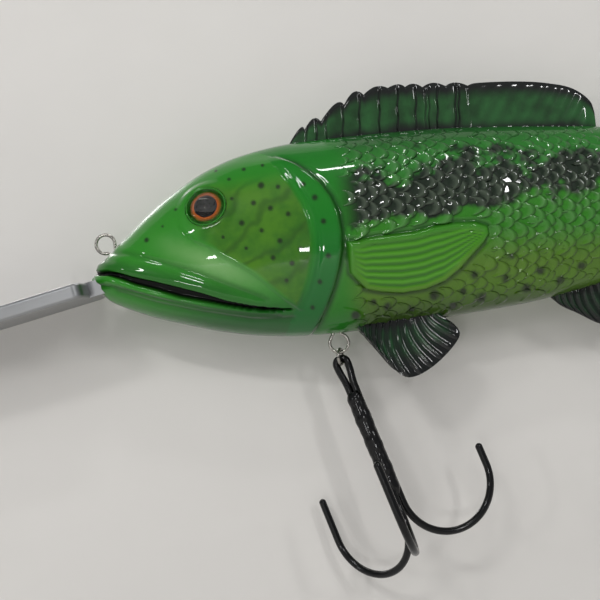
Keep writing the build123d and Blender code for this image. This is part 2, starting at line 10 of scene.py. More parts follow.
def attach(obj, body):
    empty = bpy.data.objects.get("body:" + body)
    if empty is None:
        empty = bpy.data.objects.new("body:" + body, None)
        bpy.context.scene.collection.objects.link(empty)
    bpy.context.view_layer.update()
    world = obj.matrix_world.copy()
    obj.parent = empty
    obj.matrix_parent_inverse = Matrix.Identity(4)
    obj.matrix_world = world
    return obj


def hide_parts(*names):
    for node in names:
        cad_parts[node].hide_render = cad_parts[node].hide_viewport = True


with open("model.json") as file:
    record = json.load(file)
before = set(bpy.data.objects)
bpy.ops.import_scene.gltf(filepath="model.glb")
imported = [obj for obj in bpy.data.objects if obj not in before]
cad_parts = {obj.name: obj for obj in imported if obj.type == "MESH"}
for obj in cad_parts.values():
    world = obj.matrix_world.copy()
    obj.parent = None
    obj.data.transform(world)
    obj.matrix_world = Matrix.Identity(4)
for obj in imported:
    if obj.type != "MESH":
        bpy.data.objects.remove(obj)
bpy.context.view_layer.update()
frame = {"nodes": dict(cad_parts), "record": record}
nodes = frame["nodes"]
mm = 0.001
sides = (("left", -1), ("right", 1))
print("frame loaded:", len(nodes), "parts")

# shader helpers

class Wire:
    # a shader socket that can be used in sums

    def __init__(self, paint, socket):
        self.paint, self.socket = paint, socket

    def step(self, operation, *others):
        return self.paint.add("ShaderNodeMath", {"operation": operation}, self, *others)

    def __add__(self, other):
        return self.step("ADD", other)

    def __sub__(self, other):
        return self.step("SUBTRACT", other)

    def __rsub__(self, other):
        return self.paint.add("ShaderNodeMath", {"operation": "SUBTRACT"}, other, self)

    def __mul__(self, other):
        return self.step("MULTIPLY", other)

    __radd__, __rmul__ = __add__, __mul__

    def rise(self, low, high):
        # smooth 0 to 1 between low and high
        settings = {"interpolation_type": "SMOOTHSTEP"}
        return self.paint.add("ShaderNodeMapRange", settings, self, low, high, 0.0, 1.0)

    def bell(self, middle, width):
        # 1 at middle, falling to 0 at width either side
        return 1 - (self - middle).step("ABSOLUTE").rise(0.0, width)


class Paint:
    # one node material

    def __init__(self, name, **fixed):
        self.material = bpy.data.materials.new(name)
        self.material.use_nodes = True
        self.tree = self.material.node_tree
        self.shader = self.tree.nodes["Principled BSDF"]
        for socket, value in fixed.items():
            self.shader.inputs[socket.replace("_", " ")].default_value = value
        where = self.tree.nodes.new("ShaderNodeTexCoord").outputs["Object"]
        self.where = Wire(self, where)
        split = self.tree.nodes.new("ShaderNodeSeparateXYZ")
        self.tree.links.new(where, split.inputs[0])
        self.x, self.y, self.z = [Wire(self, s) * (1 / mm) for s in split.outputs]

    def plug(self, value, socket):
        if isinstance(value, Wire):
            self.tree.links.new(value.socket, socket)
        else:
            socket.default_value = value

    def add(self, kind, settings, *values, out=0, **named):
        node = self.tree.nodes.new(kind)
        for key, value in settings.items():
            setattr(node, key, value)
        for spot, value in enumerate(values):
            self.plug(value, node.inputs[spot])
        for spot, value in named.items():
            self.plug(value, node.inputs[spot.replace("_", " ")])
        return Wire(self, node.outputs[out])

    def noise(self, perMetre, detail=2.0, rough=0.5, stretch=None):
        place = self.where
        if stretch:
            place = self.add("ShaderNodeMapping", {}, place, Scale=stretch)
        sizes = {"Scale": perMetre, "Detail": detail, "Roughness": rough}
        return self.add("ShaderNodeTexNoise", {}, Vector=place, **sizes)

    def attribute(self, name):
        return self.add("ShaderNodeAttribute", {"attribute_name": name}, out="Fac")

    def mix(self, amount, under, over):
        # colours mixed by an amount from 0 to 1
        node = self.tree.nodes.new("ShaderNodeMix")
        node.data_type = "RGBA"
        for spot, value in ((0, amount), (6, under), (7, over)):
            self.plug(value, node.inputs[spot])
        return Wire(self, node.outputs[2])

    def send(self, wire, socket):
        self.tree.links.new(wire.socket, self.shader.inputs[socket])

    def bump(self, height, strength, distance):
        node = self.tree.nodes.new("ShaderNodeBump")
        node.inputs["Strength"].default_value = strength
        node.inputs["Distance"].default_value = distance
        self.tree.links.new(height.socket, node.inputs["Height"])
        self.tree.links.new(node.outputs[0], self.shader.inputs["Normal"])


def tint(code, gain=1.0):
    # linear colour from a six-letter web colour
    values = [int(code[k:k + 2], 16) / 255 for k in (0, 2, 4)]
    linear = [v / 12.92 if v <= 0.04045 else ((v + 0.055) / 1.055) ** 2.4 for v in values]
    return (*[min(1.0, v * gain) for v in linear], 1.0)


# mesh helpers

def addMark(mesh, key, values, kind="FLOAT"):
    # a named value, or a vector, for each point
    layer = mesh.attributes.new(key, kind, "POINT")
    field = "value" if kind == "FLOAT" else "vector"
    layer.data.foreach_set(field, np.asarray(values, dtype=np.float32).reshape(-1))


def makePiece(name, points, faces, marks=None, sharp=45.0):
    # points in millimetres; marks are named values per point
    mesh = bpy.data.meshes.new(name)
    mesh.from_pydata((np.asarray(points) * mm).tolist(), [], [list(f) for f in faces])
    for key, values in (marks or {}).items():
        addMark(mesh, key, values)
    bm = bmesh.new()
    bm.from_mesh(mesh)
    bmesh.ops.remove_doubles(bm, verts=bm.verts, dist=1e-7)
    bmesh.ops.dissolve_degenerate(bm, edges=bm.edges, dist=1e-7)
    bmesh.ops.recalc_face_normals(bm, faces=bm.faces)
    bm.to_mesh(mesh)
    bm.free()
    mesh.polygons.foreach_set("use_smooth", [True] * len(mesh.polygons))
    mesh.set_sharp_from_angle(angle=math.radians(sharp))
    piece = bpy.data.objects.new(name, mesh)
    bpy.context.scene.collection.objects.link(piece)
    return piece


def dress(piece, paint, body, slot, *replaced):
    piece.data.materials.clear()
    piece.data.materials.append(paint.material)
    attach(piece, body)
    if replaced:
        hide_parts(*replaced)
    return piece


def applied(piece):
    # swaps a piece's live modifiers for the plain mesh that they make
    bpy.context.view_layer.update()
    graph = bpy.context.evaluated_depsgraph_get()
    mesh = bpy.data.meshes.new_from_object(piece.evaluated_get(graph))
    piece.modifiers.clear()
    piece.data = mesh
    return mesh


def quads(ids):
    return np.stack([ids[:-1, :-1], ids[1:, :-1], ids[1:, 1:], ids[:-1, 1:]], axis=-1).reshape(-1, 4).tolist()


def gridFaces(rows, columns, start=0, ringed=False, closed=False):
    # ringed joins the ends of each row, closed joins the last row to the first
    ids = np.arange(rows * columns).reshape(rows, columns) + start
    if ringed:
        ids = np.hstack([ids, ids[:, :1]])
    if closed:
        ids = np.vstack([ids, ids[:1]])
    return quads(ids)


def crossAxes(direction, guide):
    # two unit vectors square to a direction and to each other
    across = np.cross(direction, guide)
    across /= np.linalg.norm(across)
    return across, np.cross(direction, across)


def smoothStep(low, high, value):
    t = np.clip((value - low) / (high - low), 0, 1)
    return t * t * (3 - 2 * t)


def hump(value, middle, width):
    return np.exp(-(((value - middle) / width) ** 2))


def distanceTo(path, x, z, closed=False):
    # distance to a line of points in the side view, and which side of it: 1 is on the left going along it
    path = np.array(path, float)
    x, z = np.asarray(x), np.asarray(z)
    if closed:
        path = np.vstack([path, path[:1]])
    best = np.full(x.shape, 1e9)
    side = np.zeros(x.shape)
    for (x0, z0), (x1, z1) in zip(path[:-1], path[1:]):
        dx, dz = x1 - x0, z1 - z0
        t = np.clip(((x - x0) * dx + (z - z0) * dz) / (dx * dx + dz * dz), 0, 1)
        away = np.hypot(x - x0 - t * dx, z - z0 - t * dz)
        near = away < best
        best = np.where(near, away, best)
        side = np.where(near, np.sign(dx * (z - z0) - dz * (x - x0)), side)
    return best, side


def signedFrom(path, x, z):
    away, side = distanceTo(path, x, z)
    return away * side


def insideOf(path, x, z):
    path = np.array(path, float)
    x, z = np.asarray(x), np.asarray(z)
    inside = np.zeros(x.shape, bool)
    for (x0, z0), (x1, z1) in zip(path, np.roll(path, -1, axis=0)):
        crosses = (z0 > z) != (z1 > z)
        spot = x0 + (z - z0) / ((z1 - z0) if z1 != z0 else 1e-9) * (x1 - x0)
        inside ^= crosses & (x < spot)
    return inside


def throughPoints(path, count):
    # smooth line through points, evenly spaced along it
    path = np.array(path, float)
    ends = np.vstack([2 * path[0] - path[1], path, 2 * path[-1] - path[-2]])
    dense = []
    for a, b, c, d in zip(ends[:-3], ends[1:-2], ends[2:-1], ends[3:]):
        for t in np.linspace(0, 1, 12, endpoint=False):
            bend, twist = 2 * a - 5 * b + 4 * c - d, 3 * b - a - 3 * c + d
            dense.append(0.5 * (2 * b + (c - a) * t + bend * t**2 + twist * t**3))
    dense = np.array(dense + [path[-1]])
    run = np.concatenate([[0], np.cumsum(np.hypot(*np.diff(dense, axis=0).T))])
    even = np.linspace(0, run[-1], count)
    return np.stack([np.interp(even, run, dense[:, k]) for k in range(dense.shape[1])], axis=-1)


# body shape, in millimetres

fish = {
    "nose": -6.0,
    "length": 298.0,
    "depth": 84.5,
    "width": 48.0,
    "axisHeight": -7.0,
    "noseRound": 1.2,
    "hingeShare": 0.859,
    "jointRadiusOver": 0.5,
    "jointGap": 0.8,
    "straightTo": 205.0,
    "gridAlong": 360,
    "gridNose": 10,
    "gridRear": 70,
    "gridAround": 200,
    "tailAlong": 90,
    "tailAround": 130,
    "faceSteps": 9,
}

# share of the length, top, bottom and half-width
stations = np.array([
    (0.000, -0.077, -0.124, 0.165), (0.007, -0.039, -0.160, 0.355), (0.020, 0.007, -0.213, 0.520),
    (0.037, 0.062, -0.249, 0.635), (0.054, 0.107, -0.278, 0.710), (0.087, 0.205, -0.327, 0.805),
    (0.121, 0.290, -0.367, 0.875), (0.171, 0.388, -0.421, 0.942), (0.221, 0.453, -0.458, 0.979),
    (0.289, 0.493, -0.489, 1.000), (0.356, 0.501, -0.497, 1.000), (0.423, 0.503, -0.489, 0.983),
    (0.523, 0.495, -0.469, 0.925), (0.624, 0.469, -0.443, 0.825), (0.691, 0.445, -0.408, 0.742),
    (0.742, 0.426, -0.373, 0.671), (0.809, 0.382, -0.311, 0.571), (0.876, 0.320, -0.231, 0.458),
    (0.943, 0.254, -0.157, 0.333), (1.000, 0.215, -0.116, 0.242),
])
hingeX = fish["nose"] + fish["hingeShare"] * fish["length"]
rootX = fish["nose"] + fish["length"]


def outlineAt(column, x):
    s, v = stations[:, 0], stations[:, column]
    slope = np.gradient(v, s) * 0
    slope[1:-1] = (v[2:] - v[:-2]) / (s[2:] - s[:-2])
    slope[0], slope[-1] = (v[1] - v[0]) / (s[1] - s[0]), (v[-1] - v[-2]) / (s[-1] - s[-2])
    t = np.clip((np.asarray(x, float) - fish["nose"]) / fish["length"], 0, 1)
    k = np.clip(np.searchsorted(s, t, side="right") - 1, 0, len(s) - 2)
    span = s[k + 1] - s[k]
    t = (t - s[k]) / span
    return (
        v[k] * (1 + 2 * t) * (1 - t) ** 2 + v[k + 1] * t**2 * (3 - 2 * t)
        + slope[k] * span * t * (1 - t) ** 2 - slope[k + 1] * span * t**2 * (1 - t)
    )


def topAt(x):
    return fish["axisHeight"] + fish["depth"] * outlineAt(1, x)


def bottomAt(x):
    return fish["axisHeight"] + fish["depth"] * outlineAt(2, x)


def sideAt(x):
    return fish["width"] / 2 * outlineAt(3, x)


def skin(x, turn):
    # point of the plain skin: turn runs from 0 on the back to pi on the belly
    top, bottom, side = topAt(x), bottomAt(x), sideAt(x)
    shrink = np.sqrt(np.clip(1 - (np.clip(fish["nose"] - x, 0, None) / fish["noseRound"]) ** 2, 0, 1))
    middle, half = (top + bottom) / 2, (top - bottom) / 2
    across, height = side * shrink * np.sin(turn), middle + half * shrink * np.cos(turn)
    return np.stack([x + 0 * turn, across, height], axis=-1)


def skinSide(x, z):
    middle, half = (topAt(x) + bottomAt(x)) / 2, (topAt(x) - bottomAt(x)) / 2
    return sideAt(x) * np.sqrt(np.clip(1 - ((z - middle) / half) ** 2, 0, 1))


# relief on the head and flank: lines in the side view, X and Z. A plate is its height, how far it fades ahead
# of its edge and how soon it drops behind it. A groove, or a swell, is its depth, its middle and its width

relief = {
    "gillEdge": [(77.2, 27.5), (84.9, 23.1), (89.6, 19.1), (94.3, 13.9), (98.0, 7.6), (100.3, 0.9),
                 (100.8, -6.7), (100.1, -14.2), (98.5, -20.7), (95.7, -28.3), (92.0, -35.9),
                 (87.8, -42.7), (84.0, -47.8)],
    "gillPlate": (1.5, 16.0, 1.3),
    "gillGroove": (0.5, 1.9, 1.2),
    "cheekEdge": [(77.2, 22.1), (82.0, 14.4), (85.8, 6.6), (87.9, -0.1), (88.8, -7.6), (88.1, -15.1),
                  (85.8, -22.6), (83.9, -27.3), (81.0, -33.0)],
    "cheekPlate": (0.7, 9.0, 1.1),
    "cheekGroove": (0.35, 3.4, 0.8),
    "cheekFold": [(35.4, 3.1), (38.4, -0.8), (42.3, -4.2), (48.0, -7.5), (51.8, -10.8), (56.5, -14.0),
                  (61.2, -17.2), (65.9, -21.2), (70.6, -25.9), (75.3, -30.4), (80.1, -34.4),
                  (81.5, -35.7)],
    "foldPlate": (0.9, 8.0, 1.6),
    "mouth": [(-7.5, -12.0), (2.3, -13.2), (8.1, -15.3), (13.1, -17.7), (22.8, -21.2), (32.3, -24.9),
              (41.9, -28.0), (51.4, -31.4), (60.9, -34.0), (70.5, -35.8), (77.2, -36.1)],
    "mouthHalf": [0.9, 1.1, 1.4, 1.7, 2.0, 2.3, 1.9, 1.3, 1.1, 0.9, 0.4],
    "mouthDepth": 2.6,
    "mouthSlope": 0.94,
    "upperSwell": (0.9, 1.9, 1.9),
    "lowerSwell": (0.8, -1.5, 1.4),
    "upperLip": [(4.0, -4.5), (12.9, -6.1), (23.1, -10.2), (32.7, -14.0), (42.2, -18.3), (51.6, -23.0),
                 (61.1, -27.8), (68.0, -31.2)],
    "lowerLip": [(-5.0, -17.5), (2.7, -19.0), (12.8, -22.2), (22.4, -25.8), (32.1, -28.9), (41.6, -32.0),
                 (51.2, -34.4), (60.8, -36.6), (72.4, -38.3)],
    "jawFold": [(5.7, -21.4), (22.2, -28.2), (41.5, -34.0), (60.7, -38.5), (78.1, -39.7)],
    "lipGroove": 0.6,
    "pectoral": [(103.6, -11.4), (107.8, -11.8), (113.0, -10.9), (131.0, -10.4), (138.6, -9.1),
                 (149.0, -8.4), (156.7, -9.0), (161.1, -10.8), (161.6, -13.6), (159.3, -16.9),
                 (154.6, -21.1), (148.6, -26.7), (142.2, -30.9), (134.1, -33.4), (124.5, -34.0),
                 (115.8, -32.7), (109.6, -31.1), (103.5, -24.0)],
    "finFront": (99.0, 106.0),
    "finRise": 1.5,
    "finRim": 0.25,
    "finGroove": (0.35, -1.3, 0.9),
    "finRays": 8,
    "rayDepth": 0.45,
}

eye = {
    "x": 46.8,
    "z": 9.6,
    "sink": 2.6,
    "ringRadius": 8.3,
    "ringWire": 0.3,
    "ringHeight": 0.15,
    "flatFrom": (9.0, 13.5),  # the skin blends back from flat between these distances
    "lid": (0.12, 9.7, 1.1),
    "pocketEdge": (8.0, 8.7),
    "shadeRing": (8.9, 0.9),
    "colours": {"inner": "b85408", "outer": "804c0a", "edge": "1f5a10", "pupil": "020202"},
    "pocket": 3.9,
    "pupil": 4.5,
    "iris": 5.9,
    "pupilShift": (-0.6, 1.1),
}

spots = [  # X, Z, radius of the dark specks
    (61.2, 0.9, 1.3), (70.6, 15.5, 1.5), (66.8, 8.6, 1.2), (73.5, 5.7, 1.2), (20.7, -1.4, 1.1),
    (57.5, 20.0, 0.8), (64.0, 23.5, 0.9), (72.0, 24.0, 0.8), (53.0, -4.0, 0.8), (69.0, -3.0, 1.0),
    (76.0, -8.0, 1.2), (80.5, 2.5, 1.1), (62.0, -9.5, 0.8), (72.5, -14.5, 1.1), (80.0, -17.5, 1.2),
    (77.0, -24.0, 0.9), (84.0, -12.0, 0.9), (92.0, 8.0, 1.3), (94.5, -2.0, 1.2), (95.0, -16.0, 1.2),
    (90.5, -26.0, 1.1), (88.0, 14.0, 1.0), (86.5, -36.0, 1.0), (104.2, -41.7, 2.0), (137.8, -36.8, 2.4),
    (154.7, -30.1, 1.9), (157.7, -39.8, 2.3), (177.2, -37.9, 2.2), (183.2, -31.1, 1.9),
    (118.0, -39.5, 1.8), (128.0, -41.5, 1.5), (146.0, -42.0, 1.9), (168.0, -33.0, 1.8),
    (192.0, -36.0, 1.9), (201.0, -31.0, 1.8), (170.5, -24.0, 1.6), (150.0, -36.5, 1.6),
    (112.0, -37.0, 1.4), (212.0, -33.0, 1.8), (222.0, -28.0, 1.6), (232.0, -29.0, 1.5),
    (243.0, -24.0, 1.5), (258.0, -22.0, 1.4), (52.0, 25.0, 0.7), (34.0, 10.0, 0.7), (28.0, 3.5, 0.6),
    (58.0, 11.5, 0.8), (77.5, 14.0, 1.0),
]


def eyeFrame():
    # centre on the skin and outward direction, for the fish's right side
    x, z = eye["x"], eye["z"]
    step = 0.5
    alongX = float(skinSide(x + step, z) - skinSide(x - step, z)) / (2 * step)
    alongZ = float(skinSide(x, z + step) - skinSide(x, z - step)) / (2 * step)
    out = np.array([-alongX, 1.0, -alongZ])
    return np.array([x, float(skinSide(x, z)), z]), out / np.linalg.norm(out)


def speckAt(x, z):
    speck = np.zeros(x.shape)
    for spotX, spotZ, radius in spots:
        r = np.hypot(x - spotX, z - spotZ)
        speck = np.maximum(speck, 1 - smoothStep(0.5 * radius, 1.35 * radius, r))
    return speck


def plate(signed, height, fade, drop):
    return height * np.where(signed < 0, np.exp(signed / fade), 1 - smoothStep(0.0, drop, signed))


def groove(signed, depth, middle, width):
    return -depth * hump(signed, middle, width)


def gillRelief(x, z, marks):
    # the gill cover stands over the flank; behind its edge is positive
    signed = signedFrom(relief["gillEdge"], x, z)
    window = smoothStep(30.0, 24.0, z) * smoothStep(-50.0, -45.0, z)
    marks["edgeShade"] = hump(signed, 1.2, 1.3) * window
    marks["trunk"] = np.where(x > 103, 1.0, smoothStep(-0.2, 0.8, signed) * (signed > 0))
    marks["gill"] = (1 - smoothStep(-0.5, 1.0, signed)) * smoothStep(30.0, 24.0, z)
    return (plate(signed, *relief["gillPlate"]) + groove(signed, *relief["gillGroove"])) * window


def cheekRelief(x, z, marks):
    signed = signedFrom(relief["cheekEdge"], x, z)
    window = smoothStep(26.0, 20.0, z) * smoothStep(-37.0, -31.0, z)
    marks["gill"] *= smoothStep(-1.5, 3.5, signed)
    height = (plate(signed, *relief["cheekPlate"]) + groove(signed, *relief["cheekGroove"])) * window
    # fold under the cheek
    fold = signedFrom(relief["cheekFold"], x, z)
    marks["cheek"] = smoothStep(-0.6, 1.6, fold) * smoothStep(1.0, -1.0, signed)
    marks["cheek"] *= smoothStep(38.0, 52.0, x) * smoothStep(22.0, 12.0, z)
    window = smoothStep(32.0, 40.0, x) * smoothStep(84.0, 80.0, x)
    return height + plate(-fold, *relief["foldPlate"]) * window


def mouthRelief(x, z, marks):
    path = np.array(relief["mouth"])
    half = np.interp(x, path[:, 0], relief["mouthHalf"])
    off = (z - np.interp(x, path[:, 0], path[:, 1])) * relief["mouthSlope"]
    ahead = smoothStep(79.0, 76.0, x)
    height = -relief["mouthDepth"] * (1 - smoothStep(0.55, 1.15, np.abs(off) / half)) * ahead
    marks["mouth"] = (1 - smoothStep(0.75, 1.15, np.abs(off) / half)) * ahead
    # upper and lower lip swell beside it
    height -= groove(off - half, *relief["upperSwell"]) * smoothStep(74.0, 60.0, x)
    height -= groove(off + half, *relief["lowerSwell"]) * smoothStep(78.0, 66.0, x)
    # painted shade along the lip creases and the jaw fold; dark sets how strong it is on each line
    crease = np.zeros(x.shape)
    for name, width, dark in (("upperLip", 1.2, 0.5), ("lowerLip", 0.8, 1.0), ("jawFold", 0.9, 0.7)):
        away = distanceTo(relief[name], x, z)[0]
        height += groove(away, relief["lipGroove"], 0.0, width)
        crease += dark * hump(away, 0.0, 1.1)
    marks["crease"] = np.clip(crease, 0, 1)
    return height


def pectoralRelief(x, z, marks):
    # the side fin lies on the flank, with rays fanned between its upper and lower edges
    away = distanceTo(relief["pectoral"], x, z, closed=True)[0]
    depthIn = np.where(insideOf(relief["pectoral"], x, z), away, -away)
    plateau = smoothStep(-0.7, 0.6, depthIn)
    edgeUp = np.array(relief["pectoral"][1:9])
    edgeDown = np.array(relief["pectoral"][:8:-1])
    upper = np.interp(x, edgeUp[:, 0], edgeUp[:, 1])
    lower = np.interp(x, edgeDown[:, 0], edgeDown[:, 1])
    across = np.clip((z - lower) / np.maximum(upper - lower, 2.0), 0, 1)
    fan = 0.5 - 0.5 * np.cos(2 * np.pi * relief["finRays"] * across)
    inner = smoothStep(1.6, 2.8, depthIn) * smoothStep(102.0, 112.0, x)
    height = relief["finRise"] * plateau + relief["finRim"] * smoothStep(2.6, 1.2, depthIn) * plateau
    height += groove(depthIn, *relief["finGroove"]) - relief["rayDepth"] * (1 - fan) ** 2 * inner
    marks["pectoral"] = plateau * (0.25 + 0.75 * inner)
    marks["ray"] = (1 - fan) ** 1.2 * inner
    shade = 0.9 * hump(depthIn, -1.0, 0.9) * (x > 101)
    marks["edgeShade"] = np.clip(marks["edgeShade"] + shade, 0, 1)
    return height * smoothStep(*relief["finFront"], x)


def reliefOf(x, z):
    # height over the plain skin and the paint marks, at places in the side view
    marks = {"speck": speckAt(x, z)}
    height = sum(part(x, z, marks) for part in (gillRelief, cheekRelief, mouthRelief, pectoralRelief))
    return height, marks


def skinNormal(points):
    across = np.gradient(points, axis=1)
    along = np.gradient(points, axis=0)
    normal = np.cross(across, along)
    normal[:, 0, 1] = normal[:, -1, 1] = 0
    size = np.linalg.norm(normal, axis=-1, keepdims=True)
    normal = normal / np.maximum(size, 1e-9)
    outward = points * [0, 1, 1]
    outward[..., 2] -= points[..., 2].mean(axis=1, keepdims=True)
    flip = np.sign((normal * outward).sum(axis=-1, keepdims=True))
    return normal * np.where(flip == 0, 1, flip)


def pocketEye(points):
    # flattens the skin round the eye, sinks the pocket that the eye sits in, and gives a ring of painted
    # shade round the pocket
    centre, out = eyeFrame()
    rel = points - centre
    lift = rel @ out
    r = np.linalg.norm(rel - lift[..., None] * out, axis=-1)
    near = (points[..., 1] > 2) & (r < eye["flatFrom"][1])
    deep = eye["pocket"] * (1 - smoothStep(*eye["pocketEdge"], r))
    wanted = smoothStep(*eye["flatFrom"], r) * lift - groove(r, *eye["lid"]) - deep
    moved = points + np.where(near, wanted - lift, 0)[..., None] * out
    return moved, np.where(near, hump(r, *eye["shadeRing"]), 0)


def closedHalf(name, xs, turns, side, radius, frontJoint):
    # half of the body, closed on the middle plane, with a round joint face at its front or its rear
    rows, columns = xs.shape
    points = skin(xs, turns)
    height, marks = reliefOf(points[..., 0], points[..., 2])
    if not frontJoint:
        height = height * smoothStep(fish["nose"] - 1, fish["nose"] + 4, xs)
    points = points + height[..., None] * skinNormal(points)
    points, ring = pocketEye(points)
    # the ring of painted shade round the eye pocket joins the painted crease shade
    marks["crease"] = np.clip(marks["crease"] + 0.3 * ring, 0, 1)
    points[:, (0, -1), 1] = 0
    # rows of the joint face run in from the rim to the middle plane
    rim = points[0] if frontJoint else points[-1]
    steps = fish["faceSteps"]
    face = []
    for k in range(1, steps + 1):
        y = rim[:, 1] * (1 - k / steps)
        face.append(np.stack([hingeX - np.sqrt(radius**2 - y**2), y, rim[:, 2]], axis=-1))
    count, added = rows * columns, steps * columns
    ids = np.arange(count).reshape(rows, columns)
    rimIds = ids[0] if frontJoint else ids[-1]
    faceIds = np.vstack([rimIds, np.arange(added).reshape(steps, columns) + count])
    faces = gridFaces(rows, columns) + quads(faceIds)
    # middle plane, a strip for each row
    jointRow, nextRow = (0, 1) if frontJoint else (rows - 2, rows - 2)
    for i in range(rows - 1):
        if i == jointRow:
            faces.append([ids[nextRow, 0], *faceIds[-1], ids[nextRow, -1]])
        else:
            faces.append([ids[i, 0], ids[i + 1, 0], ids[i + 1, -1], ids[i, -1]])
    if frontJoint:
        faces.append(list(ids[-1]))
    allPoints = np.concatenate([points.reshape(-1, 3), np.array(face).reshape(-1, 3)])
    allMarks = {key: np.append(values, np.zeros(added)) for key, values in marks.items()}
    allMarks["inner"] = np.append(np.zeros(count), np.ones(added))
    return makePiece(name, allPoints * [1, -1 if side < 0 else 1, 1], faces, allMarks, sharp=55.0)


def jointX(radius, turns):
    # x of the rim where the round joint face meets the skin, found in a few rounds
    x = np.full(turns.shape, hingeX - radius / 2)
    for _ in range(12):
        y = skin(x, turns)[..., 1]
        x = hingeX - np.sqrt(np.maximum(radius**2 - y**2, 0))
    return x


def buildBody(paint):
    inner = float(sideAt(hingeX)) + fish["jointRadiusOver"]
    outer = inner + fish["jointGap"]
    turns = np.linspace(0, np.pi, fish["gridAround"])
    rear = fish["straightTo"]
    nose = fish["nose"] - fish["noseRound"] * np.cos(np.linspace(0, np.pi / 2, fish["gridNose"]))
    plain = np.linspace(fish["nose"], rear, fish["gridAlong"])[1:]
    share = np.linspace(0, 1, fish["gridRear"] + 1)[1:, None]
    ahead = np.concatenate([nose, plain])[:, None] + 0 * turns
    xs = np.vstack([ahead, rear + share * (jointX(outer, turns) - rear)])
    for name, side in sides:
        grid = np.broadcast_to(turns, xs.shape)
        piece = closedHalf(f"{name}TrunkSkin", xs, grid, side, outer, False)
        dress(piece, paint, "trunk", "body_paint", f"{name}_trunk_shell")
    turns = np.linspace(0, np.pi, fish["tailAround"])
    share = np.linspace(0, 1, fish["tailAlong"])[:, None]
    start = jointX(inner, turns)
    xs = start + share * (rootX - start)
    for name, side in sides:
        grid = np.broadcast_to(turns, xs.shape)
        piece = closedHalf(f"{name}TailSkin", xs, grid, side, inner, True)
        cutSlots(piece)
        dress(piece, paint, "tail_section", "body_paint", f"{name}_tail_shell")
    print("body skins built")


slots = {"eyeWire": 2.0, "eyeSpacing": 22.0, "pin": 2.5, "clearance": 0.08, "sideGap": 0.6, "halfAngle": 50.0}


def cutSlots(piece):
    # cuts the two slots that the hinge eyes swing in
    middle = float(topAt(hingeX) + bottomAt(hingeX)) / 2
    hub = slots["pin"] / 2 + slots["clearance"] + slots["eyeWire"] + slots["sideGap"]
    height = slots["eyeWire"] + 2 * slots["sideGap"]
    reach = 2 * (float(sideAt(hingeX)) + fish["jointRadiusOver"])
    spread = math.radians(slots["halfAngle"])
    arc = [(hub * math.cos(a), hub * math.sin(a)) for a in np.linspace(-math.pi + 1.0, math.pi - 1.0, 40)]
    outline = arc + [(-reach, reach * math.tan(spread)), (-reach, -reach * math.tan(spread))]
    for z in (middle - slots["eyeSpacing"] / 2, middle + slots["eyeSpacing"] / 2):
        points = [(hingeX + x, y, z + s * height / 2) for s in (-1, 1) for x, y in outline]
        n = len(outline)
        faces = [list(range(n))[::-1], list(range(n, 2 * n))]
        faces += [[k, (k + 1) % n, (k + 1) % n + n, k + n] for k in range(n)]
        cutter = makePiece("slotCutter", points, faces)
        cut = piece.modifiers.new("slot", "BOOLEAN")
        cut.operation, cut.object, cut.solver = "DIFFERENCE", cutter, "EXACT"
        applied(piece)
        bpy.data.objects.remove(cutter)


# paints

# lip is a painted highlight colour for the raised lips of the scales
coat = {
    "crown": "1f7316", "snout": "26761a", "jaw": "0e4a18", "lipDark": "12500e",
    "jawPale": "6e9c5c", "cheekLow": "24560d", "cheekHigh": "42700f", "smudge": "1c380a",
    "gillHigh": "0a6a10", "gillLow": "0a5a1e", "back": "174a1a", "upper": "256a22",
    "lower": "2a6e16", "olive": "466a12", "belly": "2c440e", "blotch": "0e110f",
    "pectoral": "458a16", "ray": "1a4c0c", "speck": "0d1508", "shade": "07240a", "mouth": "040604",
    "inner": "14180f", "lip": "a8b8a0",
}
# one lacquer over all the painted pieces: light, so that it doesn't veil the dark greens
lacquer = {"Coat_IOR": 1.42, "Specular_IOR_Level": 0.08}


def headPaint(p, c, drift, fine, x, z):
    head = p.mix(z.rise(2.0, 26.0), c["snout"], c["crown"])
    head = p.mix((1 - z.rise(-42.0, -24.0)) * 0.9, head, c["jaw"])
    pale = (z + x * 0.45 - 7.0).bell(0.0, 9.0) * x.bell(48.0, 30.0)
    head = p.mix(pale * 0.8, head, c["jawPale"])
    lipDark = (p.z + p.x * 0.345 + 9.0).bell(0.0, 5.5) * (1 - p.x.rise(50.0, 72.0))
    head = p.mix(lipDark * 0.75, head, c["lipDark"])
    patches = ((drift - 0.5) * 1.4 + (fine - 0.5) * 0.5 + 0.5).rise(0.2, 0.8)
    cheek = p.mix(patches, c["cheekLow"], c["cheekHigh"])
    slant = p.x * 0.62 - p.z * 0.78 + (drift - 0.5) * 26
    streak = slant.step("PINGPONG", 6.0).rise(3.6, 6.0)
    cheek = p.mix(streak * 0.55, cheek, c["smudge"])
    head = p.mix(p.attribute("cheek") * 0.9, head, cheek)
    gill = p.mix(z.rise(-30.0, 10.0), c["gillLow"], c["gillHigh"])
    return p.mix(p.attribute("gill") * 0.95, head, gill)


def trunkPaint(p, c, x, z):
    # belly to back, then the broken dark band along the flank
    trunk = p.mix(z.rise(-46.0, -34.0), c["belly"], c["olive"])
    trunk = p.mix((z + x * 0.04).rise(-21.0, -3.0), trunk, c["lower"])
    trunk = p.mix(z.rise(2.0, 18.0), trunk, c["upper"])
    trunk = p.mix(z.rise(22.0, 34.0), trunk, c["back"])
    trunk = p.mix((1 - x.rise(98.0, 112.0)) * 0.8, trunk, c["gillHigh"])
    blotch = p.noise(62.0, 3.0, 0.62) * 0.68 + p.noise(170.0, 2.0, 0.5) * 0.32
    lowBand = (z - (x - 105.0) * 0.03).bell(1.0, 13.0) * (1 - x.rise(150.0, 190.0) * 0.5)
    highBand = z.bell(14.0, 19.0)
    dark = (blotch + lowBand * 0.34 + highBand * 0.22).rise(0.63, 0.76) * x.rise(98.0, 111.0)
    return p.mix(dark * 0.95, trunk, c["blotch"])


